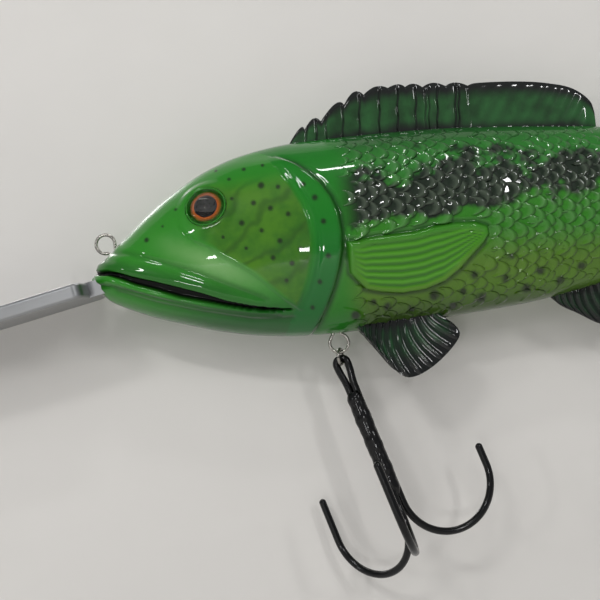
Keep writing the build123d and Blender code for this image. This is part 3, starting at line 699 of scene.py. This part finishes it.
def fishPaint():
    p = Paint("fishPaint", Coat_Roughness=0.04, **lacquer)
    c = {key: tint(code) for key, code in coat.items()}
    drift = p.noise(38.0, 3.0, 0.55)
    fine = p.noise(230.0, 2.0, 0.6)
    x, z = p.x + (drift - 0.5) * 9.0, p.z + (fine - 0.5) * 3.0
    colour = p.mix(p.attribute("trunk"), headPaint(p, c, drift, fine, x, z), trunkPaint(p, c, x, z))
    # the crease and edge layers paint shade into the creases, round the eye and along the plate and fin edges
    layers = (
        ("pectoral", 0.9, "pectoral"), ("ray", 0.8, "ray"), ("speck", 0.88, "speck"),
        ("edgeShade", 0.7, "shade"), ("crease", 0.5, "shade"), ("mouth", 1.0, "mouth"),
    )
    for mark, strength, layer in layers:
        colour = p.mix(p.attribute(mark) * strength, colour, c[layer])
    # painted highlight along the raised lips of the scales, fading towards the back and the belly
    colour = p.mix(p.attribute("lip") * z.bell(4.0, 34.0) * 0.11, colour, c["lip"])
    # painted shade, with dark groove paint, behind the rear edge of each scale, in the speck colour
    colour = p.mix(p.attribute("rim") * 0.8, colour, c["speck"])
    colour = p.mix(p.attribute("inner") * 0.8, colour, c["inner"])
    p.send(colour, "Base Color")
    p.send(0.3 + fine * 0.1, "Roughness")
    p.send(1 - p.attribute("mouth") * 0.8, "Coat Weight")
    p.bump(p.noise(700.0, 2.0, 0.5), 0.06, 0.0004)
    return p


finCoats = {
    "finPaint": {"low": "153a18", "high": "25582a", "edge": "101311", "ray": "060906"},
    "darkFinPaint": {"low": "06160a", "high": "0e3a18", "edge": "070908", "ray": "040605"},
}


def finPaint(name):
    colours = {key: tint(code) for key, code in finCoats[name].items()}
    p = Paint(name, Coat_Weight=1.0, Coat_Roughness=0.07, **lacquer)
    grain = p.noise(130.0, 3.0, 0.6)
    cloud = p.noise(48.0, 3.0, 0.6)
    base = p.mix((grain * 0.4 + cloud * 0.6).rise(0.36, 0.62), colours["low"], colours["high"])
    out = p.attribute("outward") + (cloud - 0.5) * 0.3
    base = p.mix(out.rise(0.66, 0.9), base, colours["edge"])
    base = p.mix(1 - out.rise(0.1, 0.36), base, colours["edge"])
    base = p.mix(p.attribute("ray") * 0.7, base, colours["ray"])
    p.send(base, "Base Color")
    p.send(0.36 + grain * 0.15, "Roughness")
    p.bump(p.noise(900.0, 2.0, 0.5), 0.08, 0.0004)
    return p


def metalPaint(name, colour, rough, brushed=None, **fixed):
    p = Paint(name, **fixed)
    streak = p.noise(420.0, 3.0, 0.6, stretch=brushed or (1.0, 1.0, 1.0))
    cloud = p.noise(45.0, 2.0, 0.5)
    p.send(p.mix(streak * 0.5 + cloud * 0.4, tint(colour, 0.82), tint(colour, 1.1)), "Base Color")
    p.send(rough + (streak - 0.5) * 0.16, "Roughness")
    p.bump(streak, 0.08, 0.0002)
    return p


def irisPaint():
    # rings round the line that the eye looks out along
    p = Paint("irisPaint", Specular_IOR_Level=0.1)
    centre, out = eyeFrame()
    shift = (eye["pupilShift"][0], 0, eye["pupilShift"][1])
    axes = zip((p.x, p.y.step("ABSOLUTE"), p.z), centre + shift)
    dx, dy, dz = [axis - float(value) for axis, value in axes]
    along = dx * out[0] + dy * out[1] + dz * out[2]
    r = (dx * dx + dy * dy + dz * dz - along * along).step("SQRT")
    flecks = p.noise(900.0, 3.0, 0.6)
    r = r + (flecks - 0.5) * 0.9
    c = {key: tint(code) for key, code in eye["colours"].items()}
    colour = p.mix(r.rise(4.2, 5.6), c["inner"], c["outer"])
    colour = p.mix(r.rise(eye["iris"] - 0.6, eye["iris"] + 0.7), colour, c["edge"])
    colour = p.mix(r.rise(eye["pupil"] - 0.25, eye["pupil"] + 0.1), c["pupil"], colour)
    p.send(colour, "Base Color")
    p.send(0.3 + flecks * 0.1, "Roughness")
    return p


def clearPaint():
    p = Paint("eyeClear", Transmission_Weight=1.0, IOR=1.25)
    p.send(p.mix(p.noise(120.0), tint("f4f6f2"), tint("fbfcfa")), "Base Color")
    p.send(0.01 + p.noise(300.0) * 0.015, "Roughness")
    return p


hookLacquer = {"Coat_Weight": 0.6, "Coat_Roughness": 0.12, "Coat_IOR": 1.42, "Specular_IOR_Level": 0.1}
paints = {
    "fish": fishPaint(),
    "fin": finPaint("finPaint"),
    "darkFin": finPaint("darkFinPaint"),
    "bib": metalPaint("bibMetal", "9a9b9c", 0.4, brushed=(0.06, 1.0, 1.0), Metallic=1.0),
    "wire": metalPaint("brightWire", "a5a29b", 0.27, Metallic=1.0),
    "hook": metalPaint("blackHook", "060607", 0.3, **hookLacquer),
    "lead": metalPaint("castWeight", "6b6d70", 0.55, Metallic=0.8),
    "brass": metalPaint("rattleBrass", "c79a4a", 0.3, Metallic=1.0),
    "pin": metalPaint("pinSteel", "b9b9b6", 0.3, Metallic=1.0),
    "iris": irisPaint(),
    "clear": clearPaint(),
}
slotPaints = {
    "bib_metal": "bib", "eye_wire": "wire", "hook_black": "hook", "eye_glass": "clear",
    "iris_paint": "iris", "weight_lead": "lead", "rattle_brass": "brass", "pin_steel": "pin",
    "body_paint": "fish", "fin_paint": "fin",
}
for entry in frame["record"]["subparts"]:
    node = nodes[entry["node"]]
    node.data.materials.clear()
    node.data.materials.append(paints[slotPaints[entry["material_slot"]]].material)
print("paints ready")

buildBody(paints["fish"])

# fins

fins = {
    "start": 84.0,
    "dorsalSteps": 420,
    "acrossSteps": 34,
    "rootSink": 3.0,
    "spinePitch": 8.6,
    "slitWidth": 0.4,
    "sailFrom": 79.0,
    "sailPitch": 6.6,
    "rootThick": 3.0,
    "edgeThick": 1.3,
    "rayHeight": 0.62,
    "lobes": [(5.3, 6.2, 7.3, 5.3), (11.5, 9.7, 14.7, 8.1), (21.7, 14.9, 25.5, 14.0),
              (30.3, 19.1, 34.4, 17.4), (40.0, 20.5, 45.2, 19.4), (49.7, 20.6, 52.7, 19.1),
              (56.3, 20.3, 60.2, 18.5), (65.0, 20.1, 70.2, 18.4), (74.6, 19.8, 79.8, 18.2)],
    "slits": [7.6, 12.0, 16.3, 23.6, 30.8, 39.5, 47.5, 55.4, 59.7, 61.2, 64.8, 72.7, 74.2],
    "sail": [(83.0, 19.2), (94.0, 19.6), (106.5, 19.5), (115.6, 18.7), (123.0, 17.2), (128.5, 14.4),
             (132.3, 10.6), (133.4, 6.2)],
    "pelvic": [(0.0, 0.0), (7.5, 10.8), (15.7, 22.4), (22.3, 24.6), (32.5, 20.2), (42.2, 11.8),
               (42.2, 6.4), (36.0, 0.0)],
    "pelvicFit": (2.0, 3.4),  # how far its root sinks in and how far its rays bow
    "pelvicStart": 104.5,
    "pelvicSide": 7.0,
    "pelvicSplay": 12.0,
    "anal": [(0.0, 0.0), (4.5, 5.0), (10.5, 9.5), (20.0, 17.0), (28.0, 20.0), (35.0, 19.5), (41.5, 14.5),
             (43.0, 9.0), (40.0, 4.0), (36.0, 0.0)],
    "analFit": (3.0, 3.0),
    "analStart": 190.0,
    "bellyRoot": 36.0,
    "bellySteps": 150,
    "bellyRays": 13,
    "tailLength": 42.0,
    "tailHeight": 66.0,
    "tailSteps": 220,
    "tailRays": 17,
}


def rays(count):
    # raised rays spread evenly along the root
    return lambda flat, u: (0.5 - 0.5 * np.cos(2 * np.pi * count * u)) ** 3


def finPiece(name, root, edge, ridgeOf, depthPower=0.8, bow=0.0):
    # fin with raised ridges between its root line and its edge, both given in the side view
    along, out = len(root), fins["acrossSteps"]
    v = np.linspace(0, 1, out)[None, :, None]
    flat = root[:, None] * (1 - v) + edge[:, None] * v
    u = np.linspace(0, 1, along)[:, None] * np.ones((1, out))
    v = v[..., 0] * np.ones((along, 1))
    flat[..., 0] -= bow * np.sin(np.pi * v) * 4 * u * (1 - u)
    ridge = ridgeOf(flat, u)
    fade = smoothStep(0.0, 0.1, v) * smoothStep(1.02, 0.9, v)
    fade *= smoothStep(0.0, 0.03, u) * smoothStep(1.0, 0.97, u)
    rimFade = np.minimum(smoothStep(0.0, 0.035, u), smoothStep(1.0, 0.965, u)) * smoothStep(1.0, 0.93, v)
    half = fins["edgeThick"] / 2 + (fins["rootThick"] - fins["edgeThick"]) / 2 * (1 - v) ** depthPower
    half = half * (0.45 + 0.55 * rimFade) + fins["rayHeight"] * (ridge - 0.5) * fade
    points = [np.stack([flat[..., 0], side * half, flat[..., 1]], axis=-1).reshape(-1, 3) for side in (-1, 1)]
    shift = along * out
    ids = np.arange(shift).reshape(along, out)
    loop = [*ids[:, 0], *ids[-1, 1:], *ids[-2::-1, -1], *ids[0, -2::-1]]
    faces = quads(ids) + quads(ids + shift)
    faces += quads(np.array([loop, loop]).T + [0, shift])
    marks = {"outward": np.tile(v.reshape(-1), 2), "ray": np.tile(((1 - ridge) * fade).reshape(-1), 2)}
    return makePiece(name, np.vstack(points), faces, marks, sharp=60.0)


def dorsalEdge():
    # rounded lobes with a notch between them, then a smooth sail; heights over the root, by distance along it
    line = [(0.0, 0.0)]
    for peakX, peakZ, notchX, notchZ in fins["lobes"]:
        start, peak, notch = np.array([line[-1], (peakX, peakZ), (notchX, notchZ)])
        pull = 2 * peak - 0.5 * (start + notch)
        for t in np.linspace(0, 1, 9)[1:]:
            line.append(tuple((1 - t) ** 2 * start + 2 * t * (1 - t) * pull + t**2 * notch))
    sail = throughPoints([line[-1]] + fins["sail"], 60)
    line = np.array(line + [tuple(point) for point in sail[1:]])
    return line[np.argsort(line[:, 0])].T


def dorsalRibs(flat, u):
    # soft swell of each spine, cut by narrow slits, then faint slanted rays on the sail
    x, over = flat[..., 0] - fins["start"], flat[..., 1] - topAt(flat[..., 0])
    lean = over * 0.1 + 0.22 * np.sin(flat[..., 1] * 0.6 + flat[..., 0] * 0.3)
    spines = 0.62 + 0.2 * np.cos((x - lean) * 2 * np.pi / fins["spinePitch"])
    for slit in fins["slits"]:
        spines -= 0.85 * hump(x - lean, slit, fins["slitWidth"])
    soft = 0.62 + 0.14 * np.cos((flat[..., 0] - over * 0.6) * 2 * np.pi / fins["sailPitch"])
    return np.where(x > fins["sailFrom"], soft, spines)


def buildDorsal(paint):
    x = np.linspace(fins["start"], fins["start"] + fins["sail"][-1][0], fins["dorsalSteps"])
    rise = np.interp(x - fins["start"], *dorsalEdge())
    root = np.stack([x, topAt(x) - fins["rootSink"]], axis=-1)
    edge = np.stack([x, topAt(x) + np.maximum(rise, 0.0)], axis=-1)
    piece = finPiece("dorsalFinSkin", root, edge, dorsalRibs, depthPower=1.0)
    dress(piece, paint, "trunk", "fin_paint", "dorsal_fin")


def bellyFin(name, begin, rootLine, outline, sink, bow):
    # fin that hangs below its root line, drawn as distances along the root and below it
    count = fins["bellySteps"]
    edge = throughPoints([(begin + u, float(rootLine(begin + u)) - v) for u, v in outline], count)
    x = begin + fins["bellyRoot"] * np.linspace(0, 1, count)
    root = np.stack([x, rootLine(x) + sink], axis=-1)
    return finPiece(name, root, edge, rays(fins["bellyRays"]), bow=bow)


def buildAnal(paint):
    piece = bellyFin("analFinSkin", fins["analStart"], bottomAt, fins["anal"], *fins["analFit"])
    dress(piece, paint, "trunk", "fin_paint", "anal_fin")


def buildPelvics(paint):
    # straight root line between two places on the belly, a little to the side; each fin splays outwards
    begin, width, side = fins["pelvicStart"], fins["bellyRoot"], fins["pelvicSide"]

    def belly(x):
        middle, half = (topAt(x) + bottomAt(x)) / 2, (topAt(x) - bottomAt(x)) / 2
        return float(middle - half * np.sqrt(1 - (side / sideAt(x)) ** 2))

    front, rear = belly(begin), belly(begin + width)

    def rootLine(x):
        return front + (rear - front) * (x - begin) / width

    axis, about = Vector((width, 0, rear - front)).normalized(), Vector((begin, 0, front)) * mm
    for name, way in sides:
        piece = bellyFin(f"{name}PelvicFinSkin", begin, rootLine, fins["pelvic"], *fins["pelvicFit"])
        turn = Matrix.Rotation(math.radians(way * fins["pelvicSplay"]), 4, axis)
        aside = Matrix.Translation(Vector((0, way * side * mm, 0)) + about)
        piece.data.transform(aside @ turn @ Matrix.Translation(-about))
        dress(piece, paint, "trunk", "fin_paint", f"{name}_pelvic_fin")


def buildTailFin(paint):
    top, bottom = float(topAt(rootX)), float(bottomAt(rootX))
    middle, half, long = (top + bottom) / 2, fins["tailHeight"] / 2, fins["tailLength"]
    # upper and lower edge as shares of the length and heights over the middle
    flare = 0.25 * (half - (top - middle)) + top - middle
    upper = [(0.0, top - 1.2 - middle), (0.25, flare), (0.8, half), (0.96, 0.72 * half)]
    outline = upper + [(1.0, 0.0)] + [(share, -height) for share, height in upper[::-1]]
    count = fins["tailSteps"]
    edge = throughPoints([(rootX + share * long, middle + height) for share, height in outline], count)
    heights = np.linspace(top - 2.5, bottom + 2.5, count)
    root = np.stack([np.full(count, rootX - fins["rootSink"]), heights], axis=-1)
    piece = finPiece("tailFinSkin", root, edge, rays(fins["tailRays"]))
    dress(piece, paint, "tail_section", "fin_paint", "tail_fin")


buildDorsal(paints["fin"])
buildAnal(paints["darkFin"])
buildPelvics(paints["darkFin"])
buildTailFin(paints["fin"])
print("fins built")

# painted irises, just under the flat back of each glass dome, and the rims round the domes

irisRings = [  # radius, depth below the dome
    (0.0, 0.06), (2.0, 0.06), (4.0, 0.06), (6.0, 0.06), (7.6, 0.06), (8.05, 0.1),
    (8.1, 0.2), (8.1, 0.9), (0.0, 0.9),
]


def turned(name, side, rings, around, closed, marks=None):
    # piece turned about the eye's own axis from rings of radius and height over the skin
    centre, out = eyeFrame()
    way = np.array([1, side, 1])
    centre, out = centre * way, out * way
    a, b = crossAxes(out, [0, 0, 1.0])
    points = []
    for radius, height in rings:
        for t in np.linspace(0, 2 * np.pi, around, endpoint=False):
            points.append(centre + out * height + radius * (a * math.cos(t) + b * math.sin(t)))
    faces = gridFaces(len(rings), around, ringed=True, closed=closed)
    return makePiece(name, points, faces, marks)


def buildEyes(discPaint, rimPaint):
    disc = [(radius, -eye["sink"] - depth) for radius, depth in irisRings]
    wire, turns = eye["ringWire"], np.linspace(0, 2 * np.pi, 12, endpoint=False)
    rim = [(eye["ringRadius"] + wire * math.cos(s), eye["ringHeight"] + wire * math.sin(s)) for s in turns]
    around = 96
    # a little painted shade over the rims round the domes
    marks = {"crease": np.full(len(rim) * around, 0.2)}
    for name, side in sides:
        piece = turned(f"{name}Iris", side, disc, 72, False)
        dress(piece, discPaint, "trunk", "iris_paint", f"{name}_eye_iris")
    for name, side in sides:
        piece = turned(f"{name}EyeRim", side, rim, around, True, marks)
        dress(piece, rimPaint, "trunk", "body_paint")
    print("eyes built")


buildEyes(paints["iris"], paints["fish"])

# scales

scaleRows = {
    "length": 9.8,
    "width": 7.0,
    "pitchAlong": 9.4,
    "pitchAcross": 5.6,
    "lift": 0.75,
    "sink": 0.5,
    "lip": 0.5,
    "missing": 0.05,
    "sizeVary": 0.16,
    "seed": 7,
    "front": 104.5,
    "trunkFrom": 104.0,
    "hingeClear": 3.0,
    "tailEnd": 2.0,
    "rimClear": 5.2,
    "finClear": 3.6,
    "gillClear": 5.0,
    "edgeClear": (2.5, 3.0),  # from the back and from the belly
    "bury": 0.62,
    "fullHalf": 42.0,  # half depth of body at which scales have their full size
    "leastSize": 0.55,
}


def platePiece():
    # one scale: sunk at its front, standing proud at its round rear edge. Tail is +X, outwards is +Z
    rows, columns = 6, 9
    length, width = scaleRows["length"], scaleRows["width"]
    s, t = np.meshgrid(np.linspace(0, 1, rows), np.linspace(-1, 1, columns), indexing="ij")
    bow = np.sqrt(np.maximum(0.0, 1 - (t * 0.98) ** 2))
    z = -scaleRows["sink"] + (scaleRows["lift"] + scaleRows["sink"]) * s ** 0.8 - 0.3 * t * t
    z = z + scaleRows["lip"] * (hump(s, 0.8, 0.16) - 0.4 * hump(s, 0.4, 0.2))
    x, y = -length / 2 + length * s * (0.35 + 0.65 * bow), width / 2 * t * (0.8 + 0.2 * s)
    top = np.stack([x, y, z], axis=-1)
    # the rear edge turns over and runs down into the body
    over = top[-1] + [0.12, 0.0, -0.22]
    down = np.stack([x[-1] + 0.1, y[-1], np.full(columns, -0.75)], axis=-1)
    points = np.concatenate([top.reshape(-1, 3), over, down])
    # rim marks painted shade, with dark groove paint, on the turned-over rear edge and the face that runs
    # down from it
    rim = np.concatenate([np.where(s > 0.99, 0.5, 0.0).reshape(-1), np.ones(2 * columns)])
    # lip marks where the painted highlight goes along the raised lip
    lip = np.concatenate([np.where((s > 0.7) & (s < 0.9), 1.0, 0.0).reshape(-1), np.zeros(2 * columns)])
    marks = {"rim": rim, "lip": lip, "trunk": np.ones(len(points))}
    piece = makePiece("scalePlate", points, gridFaces(rows + 2, columns), marks, sharp=70.0)
    bm = bmesh.new()
    bm.from_mesh(piece.data)
    if sum(face.normal.z for face in bm.faces) < 0:
        bmesh.ops.reverse_faces(bm, faces=bm.faces)
    bm.to_mesh(piece.data)
    bm.free()
    return piece


def scaleTree(plate, paint):
    tree = bpy.data.node_groups.new("scaleRows", "GeometryNodeTree")
    face = tree.interface
    face.new_socket("Places", in_out="INPUT", socket_type="NodeSocketGeometry")
    keys = {}
    for label, kind in (("Size", "Float"), ("Size variation", "Float"), ("Seed", "Int")):
        keys[label] = face.new_socket(label, in_out="INPUT", socket_type=f"NodeSocket{kind}").identifier
    face.new_socket("Scales", in_out="OUTPUT", socket_type="NodeSocketGeometry")

    def node(kind, **settings):
        made = tree.nodes.new(kind)
        for key, value in settings.items():
            setattr(made, key, value)
        return made

    def named(key, kind):
        made = node("GeometryNodeInputNamedAttribute", data_type=kind)
        made.inputs["Name"].default_value = key
        return made

    given, result = node("NodeGroupInput"), node("NodeGroupOutput")
    info = node("GeometryNodeObjectInfo")
    info.inputs["Object"].default_value = plate
    facing, grow = named("facing", "FLOAT_VECTOR"), named("grow", "FLOAT")
    low, high = node("ShaderNodeMath", operation="SUBTRACT"), node("ShaderNodeMath", operation="ADD")
    low.inputs[0].default_value = high.inputs[0].default_value = 1.0
    vary = node("FunctionNodeRandomValue", data_type="FLOAT")
    sized, total = node("ShaderNodeMath", operation="MULTIPLY"), node("ShaderNodeMath", operation="MULTIPLY")
    place = node("GeometryNodeInstanceOnPoints")
    real, painted = node("GeometryNodeRealizeInstances"), node("GeometryNodeSetMaterial")
    painted.inputs["Material"].default_value = paint.material
    links = (
        (given.outputs["Size variation"], low.inputs[1]),
        (given.outputs["Size variation"], high.inputs[1]),
        (low.outputs[0], vary.inputs[2]),
        (high.outputs[0], vary.inputs[3]),
        (given.outputs["Seed"], vary.inputs["Seed"]),
        (vary.outputs[1], sized.inputs[0]),
        (given.outputs["Size"], sized.inputs[1]),
        (sized.outputs[0], total.inputs[0]),
        (grow.outputs[0], total.inputs[1]),
        (given.outputs["Places"], place.inputs["Points"]),
        (info.outputs["Geometry"], place.inputs["Instance"]),
        (facing.outputs[0], place.inputs["Rotation"]),
        (total.outputs[0], place.inputs["Scale"]),
        (place.outputs[0], real.inputs[0]),
        (real.outputs[0], painted.inputs[0]),
        (painted.outputs[0], result.inputs[0]),
    )
    for start, end in links:
        tree.links.new(start, end)
    return tree, keys


def offTheScales(x, z, rim, xLow, xHigh):
    # true where the gill cover, the side fin or the joint rim leaves no room
    if not xLow <= x < xHigh or (xLow < rim and x > rim - scaleRows["rimClear"]):
        return True
    if insideOf(relief["pectoral"], x, z):
        return True
    if distanceTo(relief["pectoral"], x, z, closed=True)[0] < scaleRows["finClear"] and x < 163:
        return True
    return signedFrom(relief["gillEdge"], x, z) < scaleRows["gillClear"] and x < 112


def scaleFacing(x, z, turn, side):
    # tail along X, outwards along Z
    step, swing = 0.4, 0.02
    along = (skin(x + step, turn) - skin(x - step, turn)) * [1, side, 1]
    down = (skin(x, turn + swing) - skin(x, turn - swing)) * [1, side, 1]
    tx = Vector(along).normalized()
    nz = tx.cross(Vector(down))
    outwards = Vector((0, side * 10, z - fish["axisHeight"]))
    nz = nz if nz.dot(outwards) > 0 else -nz
    nz.normalize()
    return Matrix((tx, nz.cross(tx), nz)).transposed()


def scalePlaces(xLow, xHigh, side):
    # places, facings and sizes of the scales on one flank between two stations
    rng = np.random.default_rng(scaleRows["seed"] + (1 if side > 0 else 0))
    places, facings, sizes = [], [], []
    socket = float(sideAt(hingeX)) + fish["jointRadiusOver"] + fish["jointGap"]
    backClear, bellyClear = scaleRows["edgeClear"]
    turns = np.linspace(0, np.pi, 400)
    column = 0
    x = scaleRows["front"]
    while x < xHigh:
        half = float(topAt(x) - bottomAt(x)) / 2
        shrink = max(scaleRows["leastSize"], half / scaleRows["fullHalf"])
        # steps of equal length along the section
        line = skin(np.full(len(turns), x), turns)
        run = np.concatenate([[0], np.cumsum(np.linalg.norm(np.diff(line, axis=0), axis=1))])
        pitch = scaleRows["pitchAcross"] * shrink
        first = pitch * (0.5 if column % 2 else 1.0)
        for s in np.arange(first, run[-1], pitch):
            px = x + rng.normal(0, 0.7)
            turn = np.interp(s, run, turns) + rng.normal(0, 0.009)
            point = skin(px, turn)
            z = point[2]
            rim = hingeX - math.sqrt(max(socket**2 - point[1] ** 2, 0.0))
            if offTheScales(px, z, rim, xLow, xHigh):
                continue
            high, low = float(topAt(px)) - z, z - float(bottomAt(px))
            if high < backClear or low < bellyClear or rng.random() < scaleRows["missing"]:
                continue
            if not 0.12 <= turn <= np.pi - 0.2:
                continue
            # scales stand out less near the back, the belly and the gill cover
            seen = smoothStep(4.0, 18.0, high) * (0.42 + 0.58 * smoothStep(8.0, 24.0, low))
            seen = float(seen * smoothStep(102.0, 110.0, px))
            facing = scaleFacing(px, z, turn, side)
            twist = Matrix.Rotation(rng.normal(0, 0.2), 3, "Z") @ Matrix.Rotation(rng.normal(0, 0.05), 3, "X")
            outwards = np.array(facing.col[2])
            places.append((point * [1, side, 1] - outwards * scaleRows["bury"] * (1 - seen)) * mm)
            facings.append(tuple((facing @ twist).to_euler()))
            sizes.append((0.82 + 0.18 * seen) * shrink)
        x += scaleRows["pitchAlong"] / 2 * shrink
        column += 1
    return np.array(places), np.array(facings), np.array(sizes)


def buildScales(paint):
    plate = platePiece()
    tree, keys = scaleTree(plate, paint)
    spans = (
        ("Trunk", "trunk", scaleRows["trunkFrom"], hingeX - scaleRows["hingeClear"]),
        ("Tail", "tail_section", hingeX + scaleRows["hingeClear"], rootX - scaleRows["tailEnd"]),
    )
    for label, body, low, high in spans:
        for name, side in sides:
            places, facings, sizes = scalePlaces(low, high, side)
            mesh = bpy.data.meshes.new(f"{name}{label}Scales")
            mesh.from_pydata(places.tolist(), [], [])
            addMark(mesh, "facing", facings, "FLOAT_VECTOR")
            addMark(mesh, "grow", sizes)
            piece = bpy.data.objects.new(mesh.name, mesh)
            bpy.context.scene.collection.objects.link(piece)
            rows = piece.modifiers.new("rows", "NODES")
            rows.node_group = tree
            rows[keys["Size"]] = 1.0
            rows[keys["Size variation"]] = scaleRows["sizeVary"]
            rows[keys["Seed"]] = scaleRows["seed"]
            made = applied(piece)
            where = np.empty(len(made.vertices) * 3, dtype=np.float32)
            made.vertices.foreach_get("co", where)
            where = where.reshape(-1, 3) / mm
            addMark(made, "speck", speckAt(where[:, 0], where[:, 2]))
            dress(piece, paint, body, "body_paint")
            print(piece.name, len(sizes), "scales", len(made.polygons), "faces")
    bpy.data.objects.remove(plate)


buildScales(paints["fish"])

# brazed sleeves on the hook shanks
sleeve = {
    "start": 13.0,
    "end": 60.0,
    "core": 2.2,
    "radius": 3.62,
    "lump": 0.13,
    "drop": 13.65,
    "stations": {"front": 0.3443, "rear": 0.922},
    "tilts": {"front": 17.5, "rear": 0.0},
    "yaw": 20.0,
}


def buildSleeves(paint):
    for end, station in sleeve["stations"].items():
        x = fish["nose"] + station * fish["length"]
        yaw, tilt = math.radians(sleeve["yaw"]), math.radians(sleeve["tilts"][end])
        down = np.array([math.sin(tilt) * math.cos(yaw), -math.sin(tilt) * math.sin(yaw), -math.cos(tilt)])
        a, b = crossAxes(down, [0, 1.0, 0])
        pivot = np.array([x, 0, float(bottomAt(x)) - sleeve["drop"]])
        run = np.linspace(sleeve["start"], sleeve["end"], 90)
        around = 36
        turns = np.linspace(0, 2 * np.pi, around, endpoint=False)
        s, t = np.meshgrid(run, turns, indexing="ij")
        ends = smoothStep(run[0] - 0.2, run[0] + 3.5, s) * smoothStep(run[-1] + 0.2, run[-1] - 5.0, s)
        taper = np.sqrt(np.clip(ends, 0, 1))
        lumps = np.sin(s * 0.55 + 0.8 * np.sin(t)) + 0.6 * np.sin(s * 1.3 + 1.7 * np.cos(t) + 1.0)
        lumps += 0.4 * np.sin(2 * t + s * 0.3)
        radius = sleeve["core"] + (sleeve["radius"] - sleeve["core"]) * taper
        radius += 0.2 * np.cos(3 * (t - 0.9)) + sleeve["lump"] * lumps * taper
        spoke = np.cos(t)[..., None] * a + np.sin(t)[..., None] * b
        points = (pivot + s[..., None] * down + radius[..., None] * spoke).reshape(-1, 3)
        faces = gridFaces(len(run), around, ringed=True)
        faces += [list(range(around)), list(range(len(points) - around, len(points)))]
        dress(makePiece(f"{end}HookSleeve", points, faces), paint, f"{end}_hook", "hook_black")


buildSleeves(paints["hook"])
print("hook sleeves built")

# stage, lights and camera

stage = {
    "wallY": 0.0275,
    "floorZ": -0.205,
    "wallColour": "cbc8c4",
    "floorLow": "cfcdca",
    "floorHigh": "d8d6d3",
    "reach": 3.0,
}


def sheetPaint():
    # pale cloth, clear when it is seen from behind
    p = Paint("paleSheet", Roughness=0.7)
    low, high = [tint(stage["wallColour"], gain) for gain in (0.93, 1.03)]
    p.send(p.mix(p.noise(9.0, 3.0, 0.5), low, high), "Base Color")
    p.bump(p.noise(14.0, 3.0, 0.55), 0.25, 0.01)
    behind = p.add("ShaderNodeNewGeometry", {}, out="Backfacing")
    clear = p.add("ShaderNodeBsdfTransparent", {})
    mixed = p.add("ShaderNodeMixShader", {}, behind, Wire(p, p.shader.outputs[0]), clear)
    p.tree.links.new(mixed.socket, p.tree.nodes["Material Output"].inputs[0])
    return p


def floorPaint():
    p = Paint("paleFloor", Roughness=0.8)
    p.send(p.mix(p.noise(6.0), tint(stage["floorLow"]), tint(stage["floorHigh"])), "Base Color")
    return p


def buildStage():
    r, y, z = stage["reach"], stage["wallY"], stage["floorZ"]
    wall = bpy.data.meshes.new("backSheet")
    wall.from_pydata([(-r, y, z), (r, y, z), (r, y, r), (-r, y, r)], [], [(0, 1, 2, 3)])
    floor = bpy.data.meshes.new("floor")
    floor.from_pydata([(-r, -r, z), (r, -r, z), (r, r, z), (-r, r, z)], [], [(0, 1, 2, 3)])
    for mesh, paint in ((wall, sheetPaint()), (floor, floorPaint())):
        mesh.materials.append(paint.material)
        thing = bpy.data.objects.new(mesh.name, mesh)
        bpy.context.scene.collection.objects.link(thing)
        if mesh is wall:
            thing.visible_shadow = thing.visible_diffuse = False


lamps = [  # name, place, aim, width, height, power, seen in reflections
    ("softLamp", (-0.20, -1.00, 0.60), (0.09, 0.0, 0.0), 1.1, 0.9, 4.9, False),
    ("glintHigh", (-0.30, -0.90, 0.62), (0.09, 0.0, 0.0), 0.22, 0.05, 2.2, True),
    ("glintSide", (0.55, -0.85, 0.40), (0.10, 0.0, 0.0), 0.05, 0.20, 1.6, True),
    ("glintLow", (-0.15, -1.10, -0.10), (0.10, 0.0, -0.02), 0.16, 0.04, 1.0, True),
    ("glintFront", (-0.75, -0.70, 0.15), (0.05, 0.0, 0.0), 0.05, 0.12, 0.8, True),
    ("glintTop", (0.20, -0.60, 0.95), (0.12, 0.0, 0.0), 0.24, 0.04, 1.2, True),
    ("rearLamp", (0.10, 1.1, 0.20), (0.1, 0.0, -0.03), 0.8, 0.6, 8.0, False),
    ("rearGlint", (0.30, 0.60, 1.00), (0.1, 0.0, -0.03), 0.24, 0.06, 2.5, True),
    ("rearSide", (-0.35, 0.80, 0.45), (0.05, 0.0, -0.03), 0.06, 0.20, 2.0, True),
]
room = {"colour": "e6e9ec", "strength": 0.36}


def buildLamps():
    for name, place, aim, width, height, power, shiny in lamps:
        data = bpy.data.lights.new(name, "AREA")
        data.shape, data.size, data.size_y, data.energy = "RECTANGLE", width, height, power
        lamp = bpy.data.objects.new(name, data)
        lamp.location = place
        lamp.visible_glossy = shiny
        lamp.rotation_euler = (Vector(aim) - Vector(place)).to_track_quat("-Z", "Y").to_euler()
        bpy.context.scene.collection.objects.link(lamp)
    world = bpy.data.worlds.new("room")
    world.use_nodes = True
    world.node_tree.nodes["Background"].inputs[0].default_value = tint(room["colour"])
    world.node_tree.nodes["Background"].inputs[1].default_value = room["strength"]
    bpy.context.scene.world = world


view = {"x": 0.0816, "z": -0.0329, "away": 0.400, "frameWidth": 0.261, "roll": 6.0}


def buildCamera():
    data = bpy.data.cameras.new("camera")
    data.sensor_width = 36.0
    data.lens = 36.0 * view["away"] / view["frameWidth"]
    camera = bpy.data.objects.new("camera", data)
    roll = math.radians(view["roll"])
    right = Vector((math.cos(roll), 0, -math.sin(roll)))
    up = Vector((math.sin(roll), 0, math.cos(roll)))
    turn = Matrix((right, up, Vector((0, -1, 0)))).transposed().to_4x4()
    camera.matrix_world = Matrix.Translation((view["x"], -view["away"], view["z"])) @ turn
    bpy.context.scene.collection.objects.link(camera)
    bpy.context.scene.camera = camera


buildStage()
buildLamps()
buildCamera()
bpy.context.scene.view_settings.view_transform = "Standard"
print("stage, lamps and camera placed")
